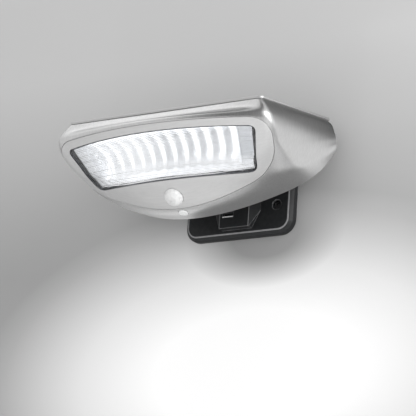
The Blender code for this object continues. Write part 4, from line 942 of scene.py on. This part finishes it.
def neck():
    """The plinth of the rail: a straight front and flanks that fan out to the plate."""
    bm = bmesh.new()
    root = PLATE_FRONT + PLATE_BEVEL / 2
    for side in (-1, 1):
        for height in (NECK_BOTTOM, RAIL_TOP):
            bm.verts.new((side * NECK_WIDTH / 2, NECK_FRONT, height))
        for height, width in ((NECK_BOTTOM, NECK_WIDTH), (NECK_FLARE_LOW, NECK_WIDTH),
                              (NECK_FLARE_HIGH, NECK_FOOT_WIDTH), (RAIL_TOP, NECK_FOOT_WIDTH)):
            bm.verts.new((side * width / 2, root, height))
            bm.verts.new((side * width / 2, PLATE_FRONT, height))
    bmesh.ops.convex_hull(bm, input=bm.verts)
    bmesh.ops.dissolve_limit(bm, angle_limit=math.radians(1), verts=bm.verts, edges=bm.edges)
    soften(bm, lying(bm, 1, NECK_FRONT), NECK_ROUND, 3)
    return mesh_object("neck", bm)


def rail():
    tip = NECK_FRONT - RAIL_DEPTH
    root = NECK_DEPTH / 2
    near = RAIL_THROAT / 2 - (RAIL_FACE - RAIL_THROAT) / 2 / RAIL_DEPTH * root
    far = RAIL_FACE / 2
    outline = [(-near, NECK_FRONT + root), (near, NECK_FRONT + root), (far, tip), (-far, tip)]
    return prism("rail", outline, RAIL_BOTTOM, RAIL_TOP, Matrix())


def screw_frames():
    """The frames of the wall screws, with Z out of the wall."""
    return [Matrix.Translation((side * SCREW_SPREAD / 2, 0, end * SCREW_RISE / 2)) @ UPRIGHT
            for end in (-1, 1) for side in (-1, 1)]


def bracket_moulding():
    made = plate()
    cuts = [mesh_object("slot", block(
        (SLOT_X - SLOT_WIDTH / 2, NECK_FRONT - SLOT_DEPTH, SLOT_BOTTOM),
        (SLOT_X + SLOT_WIDTH / 2, NECK_FRONT + SLOT_DEPTH, SLOT_BOTTOM + SLOT_HEIGHT)))]
    bore = [(0, PLATE_DEPTH + PAST), (SCREW_SINK, PLATE_DEPTH + PAST),
            (SCREW_SINK, PLATE_DEPTH - PLATE_ROUND),
            (SCREW_BORE, PLATE_DEPTH - (SCREW_SINK - SCREW_BORE)), (SCREW_BORE, -PAST), (0, -PAST)]
    for place in screw_frames():
        cuts.append(mesh_object("screw_hole", turned(bore, SCREW_SIDES, place)))
    for side in (-1, 1):
        for end in (-1, 1):
            x = side * (POCKET_WIDTH + PLATE_WALL) / 2
            z = end * (POCKET_HEIGHT + PLATE_WALL) / 2
            pocket = block((x - POCKET_WIDTH / 2, -POCKET_DEPTH, z - POCKET_HEIGHT / 2),
                           (x + POCKET_WIDTH / 2, POCKET_DEPTH, z + POCKET_HEIGHT / 2))
            soften(pocket, running(pocket, 1), POCKET_CORNER, 5)
            cuts.append(mesh_object("pocket", pocket))
    settle(made, ("UNION", neck()), ("UNION", rail()), *[("DIFFERENCE", cut) for cut in cuts])
    dress(made, "bracket", black_plastic, ["wall_bracket"])
    # Faces of the softened front edges get the painted highlight.
    made.data.materials.append(painted_ridge_highlight)
    for face in made.data.polygons:
        for front, depth in ((PLATE_FRONT, PLATE_ROUND), (NECK_FRONT, NECK_ROUND)):
            if front < face.center.y < front + depth and RIDGE_LOW < -face.normal.y < RIDGE_HIGH:
                face.material_index = 1


def latch_lip():
    """The tongue in the foot of the latch slot, near-white as a painted highlight."""
    bm = block((SLOT_X - SLOT_WIDTH / 2, NECK_FRONT - SLOT_LIP, SLOT_BOTTOM - SLOT_LIP),
               (SLOT_X + SLOT_WIDTH / 2, NECK_FRONT + SLOT_DEPTH / 2, SLOT_BOTTOM))
    soften(bm, running(bm, 0), SLOT_LIP / 4, 3)
    dress(mesh_object("latch_lip", bm), "bracket", painted_highlight_lip)


def crossed_screw(name, body, profile, span, turn, place):
    """A turned screw whose top, the first height of its profile, has a cross recess."""
    top = profile[0][1]
    made = mesh_object(name, turned(profile, SCREW_SIDES, place))
    arms = []
    for wide, tall in ((RECESS_WIDTH * span, span), (span, RECESS_WIDTH * span)):
        arm = block((-wide / 2, -tall / 2, top - RECESS_DEPTH * span), (wide / 2, tall / 2, top + PAST))
        bmesh.ops.transform(arm, matrix=place @ Matrix.Rotation(turn, 4, "Z"), verts=arm.verts)
        arms.append(("DIFFERENCE", mesh_object("recess", arm)))
    settle(made, *arms)
    dress(made, body, screw_steel)


def wall_screw(number, place):
    """A countersunk screw that holds the plate to the wall."""
    top = PLATE_DEPTH - SCREW_DEPTH
    head, shank = SCREW_SINK - SCREW_DEPTH / 2, SCREW_BORE - SCREW_EASE
    profile = [(0, top + SCREW_EASE), (head / 2, top + SCREW_EASE * 2 / 3), (head - SCREW_EASE, top),
               (head, top - SCREW_EASE), (shank, top - head + shank), (shank, SCREW_TIP), (0, SCREW_TIP)]
    crossed_screw(f"wall_screw_{number}", "bracket", profile, SCREW_CROSS, SCREW_TURN * number, place)


# Rim round the solar panel

def rim_block(inset, low, high):
    """A plate of the rim's outline, drawn in by some inset."""
    bm = block((inset - RIM_HALF, inset, low), (RIM_HALF - inset, RIM_DEPTH - inset, high))
    soften(bm, running(bm, 2), max(RIM_CORNER - inset, PANEL_CORNER), 8)
    return bm


def rim_band():
    """The rim: rounded outside, with a lip that holds the glass."""
    bm = rim_block(0, FRAME_FOOT, FRAME_TOP)
    soften(bm, lying(bm, 2, FRAME_TOP), FRAME_ROUND, 5)
    soften(bm, lying(bm, 2, FRAME_FOOT), FRAME_ROUND / 3, 3)
    made = mesh_object("rim_band", bm)
    lip = rim_block(FRAME_WALL / 2, FRAME_TOP - FRAME_LIP, FRAME_TOP + FRAME_BEAD)
    soften(lip, lying(lip, 2, FRAME_TOP + FRAME_BEAD), FRAME_BEAD / 2, 3)
    raised = mesh_object("lip", lip)
    window = mesh_object("window", rim_block(FRAME_WALL + FRAME_LIP_WIDTH, -PAST, FRAME_TOP + PAST))
    seat = mesh_object("seat", rim_block(FRAME_WALL, -PAST, FRAME_TOP - FRAME_LIP))
    settle(made, ("UNION", raised), ("DIFFERENCE", window), ("DIFFERENCE", seat))
    dress(in_head(made), "head", polished_rim, ["rim_frame"])


def cell_ribbons(name, places, width, look):
    """Thin ribbons from front to back on the cells, under the glass, at some places across them."""
    bm = bmesh.new()
    size = Matrix.Diagonal((width, RIM_DEPTH - 2 * CELL_INSET, RIBBON_WALL, 1))
    for place in places:
        spot = (CELL_INSET - RIM_HALF + place, RIM_DEPTH / 2, CELL_TOP + RIBBON_WALL)
        bmesh.ops.create_cube(bm, size=1, matrix=HEAD @ Matrix.Translation(spot) @ size)
    dress(mesh_object(name, bm), "head", look)


# Rear cover and battery door

def cover_frame(x, up):
    """A frame on the outside of the slanting rear cover, with Z outwards."""
    keel = Vector((0, KEEL_SETBACK, -KEEL_DROP))
    rise = (Vector((0, TAIL_SETBACK, -TAIL_DROP)) - keel).normalized()
    inwards = Vector((1, 0, 0)).cross(rise)
    made = Matrix((Vector((-1, 0, 0)), rise, -inwards)).transposed().to_4x4()
    made.translation = keel + Vector((x, 0, 0)) + rise * up + inwards * COVER_RECESS
    return HEAD @ made


def cover_screw(number, x, up):
    """A pan-head screw in the rear cover or the battery door."""
    crossed_screw(f"cover_screw_{number}", "head", PAN_PROFILE, PAN_CROSS, PAN_TURN * number,
                  cover_frame(x, up))


def door_grip():
    """Low ribs for the thumb on the battery door."""
    bm = bmesh.new()
    size = Matrix.Diagonal((GRIP_LENGTH, GRIP_WIDTH, GRIP_HEIGHT, 1))
    for row in range(GRIP_RIBS):
        spot = Matrix.Translation((0, (row - (GRIP_RIBS - 1) / 2) * GRIP_PITCH, GRIP_HEIGHT / 2))
        bmesh.ops.create_cube(bm, size=1, matrix=spot @ size)
    soften(bm, lying(bm, 2, GRIP_HEIGHT), GRIP_HEIGHT / 2, 3)
    bmesh.ops.transform(bm, matrix=cover_frame(0, GRIP_UP), verts=bm.verts)
    dress(mesh_object("door_grip", bm), "head", cover_black)


bracket_moulding()
latch_lip()
for number, place in enumerate(screw_frames(), 1):
    wall_screw(number, place)
rim_band()
busbars = [CELL_PITCH * (k + 0.5) / 2 for k in range(2 * CELL_COLUMNS)]
gaps = [CELL_PITCH * k for k in range(1, CELL_COLUMNS)]
cell_ribbons("cell_busbars", busbars, BUSBAR_WIDTH, nickel)
cell_ribbons("cell_gaps", gaps, GAP_WIDTH, white_sheet)
cover_screw(1, -COVER_SCREW_X, COVER_SCREW_UP)
cover_screw(2, COVER_SCREW_X, COVER_SCREW_UP)
cover_screw(3, 0, DOOR_SCREW_UP)
door_grip()
shell_skin()
fascia_panel()
ribbed_lens()
fluted_reflector()
faceted_dome()
oval_button()

# Finishes of the solids that show as they are, by their names without numbers
NODE_LOOKS = {
    "lens_seal": grey_rubber, "led_board": white_board, "led": lamp_lit,
    "pir_holder": inner_black, "pir_sensor": nickel, "sensor_board": green_board,
    "tact_switch": inner_black, "switch_board": green_board,
    "panel_gasket": black_rubber, "panel_glass": top_glass, "solar_cells": silicon,
    "panel_backsheet": white_sheet, "panel_tray": inner_black, "control_board": green_board,
    "back_cover": cover_black, "battery_door": cover_black, "battery_holder": inner_black,
    "battery": battery_wrap, "contact_left": nickel, "contact_right": nickel,
}
for name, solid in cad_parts.items():
    look = NODE_LOOKS.get(name.rstrip("_0123456789"))
    if look:
        for slot in solid.material_slots:
            slot.material = look


# Room, light and camera

WALL_SIZE = 8.0
FLOOR_DROP = 1.2
WALL_SPAN = 0.9                       # the wall's shading changes over this much, up and down
POOL_PLACE = (0.025, 0, -0.208)       # the lamp's light on the wall
POOL_REACH = (0.39, 1, 0.21)
SHADE_PLACE = (0.030, 0, -0.050)      # where the plate keeps that light off
SHADE_REACH = (0.105, 1, 0.062)
SHADE_FULL = 1 / 1.7                  # the shade is full from this part of the way in
WALL_SHADES = ((0.0, 0.70), (0.20, 0.34), (0.46, 0.34), (0.60, 0.51))
POOL_GLOW = ((0.0, 0.0), (0.10, 0.08), (0.40, 0.44), (0.66, 0.65))
WALL_GAP = 0.0006


def seen_from_front(made, tree, shader):
    """Shows a sheet to the camera, mirrors and glass, from its front only."""
    path = node(tree, "ShaderNodeLightPath").outputs
    back = node(tree, "ShaderNodeNewGeometry").outputs["Backfacing"]
    seen = maths(tree, "MAXIMUM", path["Is Camera Ray"], path["Is Glossy Ray"])
    seen = maths(tree, "MAXIMUM", seen, path["Is Transmission Ray"])
    shown = maths(tree, "MULTIPLY", seen, maths(tree, "SUBTRACT", 1.0, back))
    clear = node(tree, "ShaderNodeBsdfTransparent")
    mix = node(tree, "ShaderNodeMixShader")
    for socket, value in zip(mix.inputs, (shown, clear.outputs[0], shader.outputs[0])):
        fill(tree, socket, value)
    fill(tree, tree.nodes["Material Output"].inputs["Surface"], mix.outputs[0])
    return made


def floor_paint():
    made, tree, shader = blank_material("floor_paint")
    mottle, _ = grain(tree, (6, 6, 6))
    fill_named(tree, shader, {
        "Base Color": mixed(tree, mottle, 0.78, 0.80), "Roughness": 0.9})
    return seen_from_front(made, tree, shader)


def round_spot(tree, place, centre, reach):
    """A value that falls from 1 at a spot's centre to 0 at its reach."""
    spot = node(tree, "ShaderNodeTexGradient", gradient_type="SPHERICAL")
    offset = vectors(tree, "SUBTRACT", place, centre)
    fill(tree, spot.inputs["Vector"], vectors(tree, "DIVIDE", offset, reach))
    return spot.outputs["Fac"]


def wall_paint():
    """Grey paint with painted shading that changes with height, a painted pool of the lamp's light and the
    plate's painted shadow in it.
    """
    made, tree, shader = blank_material("wall_paint")
    place = node(tree, "ShaderNodeTexCoord").outputs["Object"]
    parts = node(tree, "ShaderNodeSeparateXYZ")
    fill(tree, parts.inputs[0], place)
    height = ranged(tree, parts.outputs["Z"], 0.0, 1.0, -WALL_SPAN, WALL_SPAN)
    pool = ramp(tree, round_spot(tree, place, POOL_PLACE, POOL_REACH), POOL_GLOW)
    shade = ranged(tree, round_spot(tree, place, SHADE_PLACE, SHADE_REACH), 0.0, 1.0, 0.0, SHADE_FULL)
    fill_named(tree, shader, {
        "Base Color": ramp(tree, height, WALL_SHADES), "Roughness": 0.9,
        "Emission Color": mixed(tree, shade, pool, 0.0), "Emission Strength": 1.0})
    return seen_from_front(made, tree, shader)


def backdrop(name, place, paint):
    bm = bmesh.new()
    bmesh.ops.create_grid(bm, x_segments=8, y_segments=8, size=WALL_SIZE / 2, matrix=place)
    made = mesh_object(name, bm)
    made.data.materials.append(paint)


backdrop("wall", Matrix.Translation((0, WALL_GAP, 0)) @ UPRIGHT, wall_paint())
backdrop("floor", Matrix.Translation((0, 0, -FLOOR_DROP)), floor_paint())


def softbox(name, place, aim, width, height, power, mirrored=False):
    """A rectangular studio light, turned to shine from its place to its aim."""
    lamp = bpy.data.lights.new(name, "AREA")
    lamp.shape = "RECTANGLE"
    lamp.size = width
    lamp.size_y = height
    lamp.energy = power
    made = new_object(name, lamp)
    made.location = place
    made.rotation_euler = (Vector(aim) - Vector(place)).to_track_quat("-Z", "Y").to_euler()
    made.visible_glossy = mirrored


HEAD_MIDDLE = (0, -0.12, 0.0)
softbox("overhead_light", (-0.2, -0.45, 1.5), HEAD_MIDDLE, 2.6, 1.0, 10)
softbox("right_light", (1.40, -0.52, 0.28), HEAD_MIDDLE, 1.1, 1.1, 13, mirrored=True)
softbox("front_light", (0.9, -1.8, -0.5), HEAD_MIDDLE, 1.2, 1.2, 7)
softbox("back_light", (0.3, 1.8, 1.2), HEAD_MIDDLE, 1.2, 1.2, 10)


def card(name, centre, facing, width, height, brightness, lean=0):
    """A studio card or flag that only reflections see, leaning by some degrees."""
    made, tree, shader = blank_material(name)
    fill_named(tree, shader, {
        "Base Color": 0.0, "Roughness": 1.0, "Specular IOR Level": 0.0,
        "Emission Color": 1.0, "Emission Strength": brightness})
    turn = Vector(facing).to_track_quat("Z", "Y").to_matrix().to_4x4()
    turn @= Matrix.Rotation(math.radians(lean), 4, "Z")
    size = Matrix.Diagonal((width, height, 1, 1))
    bm = bmesh.new()
    bmesh.ops.create_grid(bm, x_segments=2, y_segments=2, size=0.5,
                          matrix=Matrix.Translation(centre) @ turn @ size)
    sheet = mesh_object(name, bm)
    sheet.data.materials.append(made)
    sheet.visible_camera = False
    sheet.visible_diffuse = False
    sheet.visible_transmission = False
    sheet.visible_shadow = False


card("flag_above", (-0.028, -0.005, 0.633), (0, -1, 0), 0.345, 1.135, 0.04)
card("flag_beside", (0.184, -0.005, 0.376), (0, -1, 0), 0.325, 0.60, 0.12, lean=-28)
card("flag_over", (0.05, -1.02, 1.40), (0, 0, -1), 1.0, 1.25, 0.06)
card("flag_front", (0.375, -1.6, 0.10), (0, 1, 0), 1.25, 2.6, 0.10)
card("flag_below", (0.058, -0.005, -0.163), (0, -1, 0), 0.240, 0.255, 0.21)
card("bounce_right", (0.55, -0.004, 0.08), (0, -1, 0), 0.80, 0.23, 0.84)
card("bounce_over", (-0.90, -0.25, 1.40), (0, 0, -1), 0.85, 0.7, 1.5)
card("bounce_left", (-0.72, -0.004, 1.0), (0, -1, 0), 1.0, 1.4, 0.92)

world = bpy.data.worlds.new("studio")
scene.world = world
world.use_nodes = True
fill_named(world.node_tree, world.node_tree.nodes["Background"], {"Color": 0.85, "Strength": 0.9})

camera = bpy.data.cameras.new("photo_camera")
camera.lens = CAMERA_LENS
camera.sensor_width = SENSOR_WIDTH
viewer = new_object("photo_camera", camera)
viewer.location = CAMERA_PLACE
viewer.rotation_mode = "QUATERNION"
aim = Vector(CAMERA_AIM).to_track_quat("-Z", "Y")
viewer.rotation_quaternion = aim @ Quaternion((0, 0, 1), CAMERA_ROLL)
scene.camera = viewer
scene.view_settings.view_transform = "Standard"
